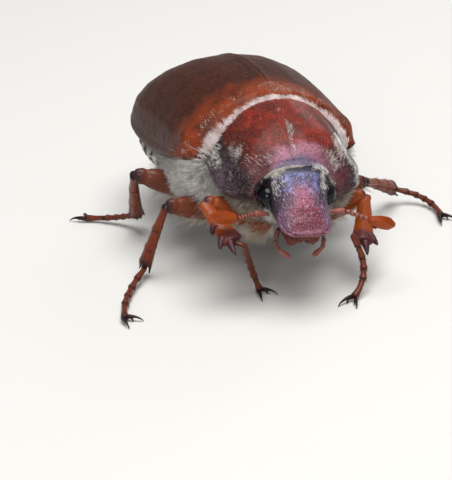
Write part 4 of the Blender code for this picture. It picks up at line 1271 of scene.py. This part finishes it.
def makeShin(name, leg, kind):
    knee, ankle = Vector(leg["knee"]), Vector(leg["ankle"])
    ahead = (ankle - knee).normalized()
    length = (ankle - knee).length
    size = legShape["shin"][kind]
    outward = Vector((math.copysign(1, knee.x), 0, 0))
    out = (outward - ahead * outward.dot(ahead)).normalized()
    rear = ahead.cross(out).normalized()
    width = lambda v: size * curveAt(legShape["shinProfile"], v)
    darkFrom = 0.68 if kind == "front" else 0.78
    # dusk is the painted shade of this shin
    dusk = legShape["shinShade"][kind]

    def relief(u, v):
        # Two slanting ridges round the outside of the middle and hind shins, a long keel on the front ones
        turn = abs(((u - 0.25 + 0.5) % 1) - 0.5) * 2
        if kind == "front":
            return 0.07 * hump(turn, 0.0, 0.14) * smoothStep(0.1, 0.3, v)
        ridge = sum(hump(v, middle + 0.05 * (0.5 - turn), 0.018) for middle in (0.36, 0.68))
        return 0.045 * ridge * smoothStep(1.0, 0.55, turn) + 0.04 * hump(v, 0.965, 0.02)

    # The front shin is a broad, flat blade, the others are nearly round
    flatSide, depth = (rear, 0.5) if kind == "front" else (outward, 0.78)
    path = bent((knee - ahead * 0.12, (knee + ankle) / 2 + out * 0.08, ankle))
    parts = [limb(
        "shin", path, width, lambda v: depth * width(v), flatSide, 40, 90,
        lambda u, v: dusk + 0.9 * hump(v, 0.0, 0.07) + 0.7 * smoothStep(darkFrom, darkFrom + 0.2, v),
        (0.05, 0.03), relief,
    )]

    def thorn(place, turn, radius, outShare, length, spread, thick):
        # A small thorn on the shin's side, turned round it
        lean = out * math.cos(turn) + rear * math.sin(turn)
        root = place + (out * math.cos(turn) * 0.78 + rear * math.sin(turn)) * radius * outShare
        parts.append(spike("thorn", root, root + ahead * length + lean * spread, thick))

    if kind == "front":
        for share, reach in ((0.55, 0.55), (0.82, 0.85)):
            root = knee.lerp(ankle, share) + out * size * 0.45
            tip = root + out * (0.32 + 0.4 * reach) + ahead * reach * 0.95
            parts.append(spike("tooth", root, tip, 0.36, out * 0.16, 0.7))
        root, tip = ankle - ahead * 0.35 + out * 0.08, ankle + ahead * 1.0 + out * 0.34
        parts.append(spike("tooth", root, tip, 0.36, out * 0.1, 0.7))
        parts.append(spike("spur", ankle - out * 0.2 - ahead * 0.2, ankle - out * 0.42 + ahead * 0.35, 0.1))
    else:
        for turn in (-0.7, 0.9):
            lean = (out * math.cos(turn + 2.2) + rear * math.sin(turn + 2.2)) * size * 0.75
            root, tip = ankle - ahead * 0.3 + lean * 0.7, ankle + ahead * 0.78 + lean * 1.4
            parts.append(spike("spur", root, tip, 0.17, lean * 0.1))
        # Thorns along each ridge and round the end
        for middle in (0.37, 0.69):
            for k in range(5):
                thorn(knee.lerp(ankle, middle), -1.1 + 0.55 * k, width(middle), 0.95, 0.3, 0.13, 0.055)
        for k in range(9):
            thorn(ankle - ahead * 0.06, 2 * math.pi * k / 9, size, 0.92, 0.26, 0.06, 0.05)
    piece = joinPieces("shin_" + name, parts)
    hair = {
        **shinHair, "want": lambda p: 1 if (p - knee).dot(ahead) < length * 0.95 else 0,
        "lie": lambda p: ahead + Vector((0, 0, -0.15)),
    }
    growCoat("shinHair_" + name, piece, groundPose, hair)
    finish = "legHorn" if kind == "front" else "shadedShinHorn"
    settle(piece, groundPose, finish, "limbs", ["tibia_" + name])


def makeFoot(name, leg):
    foot = Vector((leg["foot"][0], leg["foot"][1], 0.26))
    curve = bent((leg["start"], leg["pull"], foot))
    inside = Vector(leg["ankle"])
    radius = legShape["toeRadius"]
    joint = (1 - legShape["lastShare"]) / (legShape["toeJoints"] - 1)
    parts = []
    for n in range(legShape["toeJoints"]):
        last = n == legShape["toeJoints"] - 1
        begin = n * joint - 0.012
        finishAt = 1.0 if last else (n + 1) * joint + 0.006
        path = lambda v: curve(max(0.0, begin + (finishAt - begin) * v))
        flare = lambda v: radius * (0.76 + 0.1 * v + 0.22 * smoothStep(0.45, 0.93, v))
        if n == 0:
            # The first joint starts inside the shin
            path = lambda v: (
                inside.lerp(curve(0.0), v / 0.3) if v < 0.3 else curve(finishAt * (v - 0.3) / 0.7)
            )
        endTone = 0.5 if last else 0.25
        parts.append(limb(
            "toe", path, flare, lambda v: 0.9 * flare(v), (0.02, 0.03, 1), 22, 18,
            lambda u, v: 0.15 + 0.7 * hump(v, 0.0, 0.2) + endTone * smoothStep(0.6, 1, v), (0.1, 0.08),
        ))
        if not last:
            tipPoint, ahead = path(1.0), (path(1.0) - path(0.8)).normalized()
            side = ahead.cross(Vector((0, 0, 1))).normalized()
            for turn in (-1, 1):
                root = tipPoint - ahead * 0.08 + side * turn * radius * 0.7 - Vector((0, 0, 0.08))
                tip = root + ahead * 0.2 + side * turn * 0.12 - Vector((0, 0, 0.02))
                parts.append(spike("bristle", root, tip, 0.035))
    out = Vector((*leg["claws"], 0)).normalized()
    across = Vector((-out.y, out.x, 0))
    for side in (-1, 1):
        root = foot - out * 0.18 + across * side * 0.06
        bow = foot + out * 0.62 + across * side * 0.5 + Vector((0, 0, 0.2))
        tip = foot + out * 0.98 + across * side * 0.62 + Vector((0, 0, -0.24))
        thick = lambda v: legShape["clawRadius"] * (1 - v) + 0.02 * v + 0.03 * hump(v, 0.15, 0.2)
        parts.append(limb(
            "claw", bent((root, bow, tip)), thick, thick, (0.02, 0.03, 1), 16, 24,
            lambda u, v: 0.75 + 0.3 * v, (0.06, 0.1),
        ))
        base = foot + out * 0.28 + across * side * 0.24
        parts.append(spike("clawTooth", base, base + out * 0.2 - Vector((0, 0, 0.2)), 0.09))
    piece = joinPieces("foot_" + name, parts)
    for point in piece.data.vertices:
        point.co.z = max(point.co.z, 0.004)
    settle(piece, groundPose, "footHorn", "feet", ["tarsus_" + name])


for name, leg in legs.items():
    kind = name.split("_")[0]
    makeThigh(name, leg, kind)
    makeShin(name, leg, kind)
    makeFoot(name, leg)
print("legs made")


# Floor, light and camera

studio = {
    "floor": (0.62, 0.61, 0.59), "sky": (0.92, 0.96, 1.0), "skyStrength": 0.27, "target": (0, 0, 0.006),
    "lights": {
        # Place, size, power and colour
        "topLight": ((0.02, -0.05, 0.28), 0.26, 1.15, (1, 0.99, 0.97)),
        "frontLight": ((-0.12, -0.25, 0.14), 0.12, 0.22, (1, 0.98, 0.96)),
        "rimLight": ((0.16, 0.16, 0.12), 0.1, 0.08, (0.94, 0.97, 1)),
    },
    "lens": 148.978, "sensor": 36, "clipStart": 0.005,
    "cameraPlace": (-0.032188, -0.118148, 0.053964), "cameraTurn": (65.8607, 5.4218, -16.5419),
}
choose()
bpy.ops.mesh.primitive_plane_add(size=1.6, location=(0, 0, 0))
floor = bpy.context.active_object
floor.name = "floor"
floor.data.materials.append(Finish("paleFloor", groundPose).give(studio["floor"], 0.8))

world = bpy.data.worlds.new("softSky")
world.use_nodes = True
sky = world.node_tree.nodes["Background"]
feed(world.node_tree, sky.inputs["Color"], studio["sky"])
sky.inputs["Strength"].default_value = studio["skyStrength"]
bpy.context.scene.world = world


for name, (place, size, power, colour) in studio["lights"].items():
    lamp = bpy.data.lights.new(name, "AREA")
    lamp.shape = "DISK"
    lamp.size = size
    lamp.energy = power
    lamp.color = colour
    light = bpy.data.objects.new(name, lamp)
    light.location = place
    light.rotation_euler = (Vector(studio["target"]) - Vector(place)).to_track_quat("-Z", "Y").to_euler()
    bpy.context.scene.collection.objects.link(light)

camera = bpy.data.objects.new("photoCamera", bpy.data.cameras.new("photoCamera"))
camera.data.lens = studio["lens"]
camera.data.sensor_width = studio["sensor"]
camera.data.clip_start = studio["clipStart"]
camera.location = studio["cameraPlace"]
camera.rotation_euler = [math.radians(a) for a in studio["cameraTurn"]]
bpy.context.scene.collection.objects.link(camera)
bpy.context.scene.camera = camera
bpy.context.scene.view_settings.view_transform = "Standard"
print("studio made")
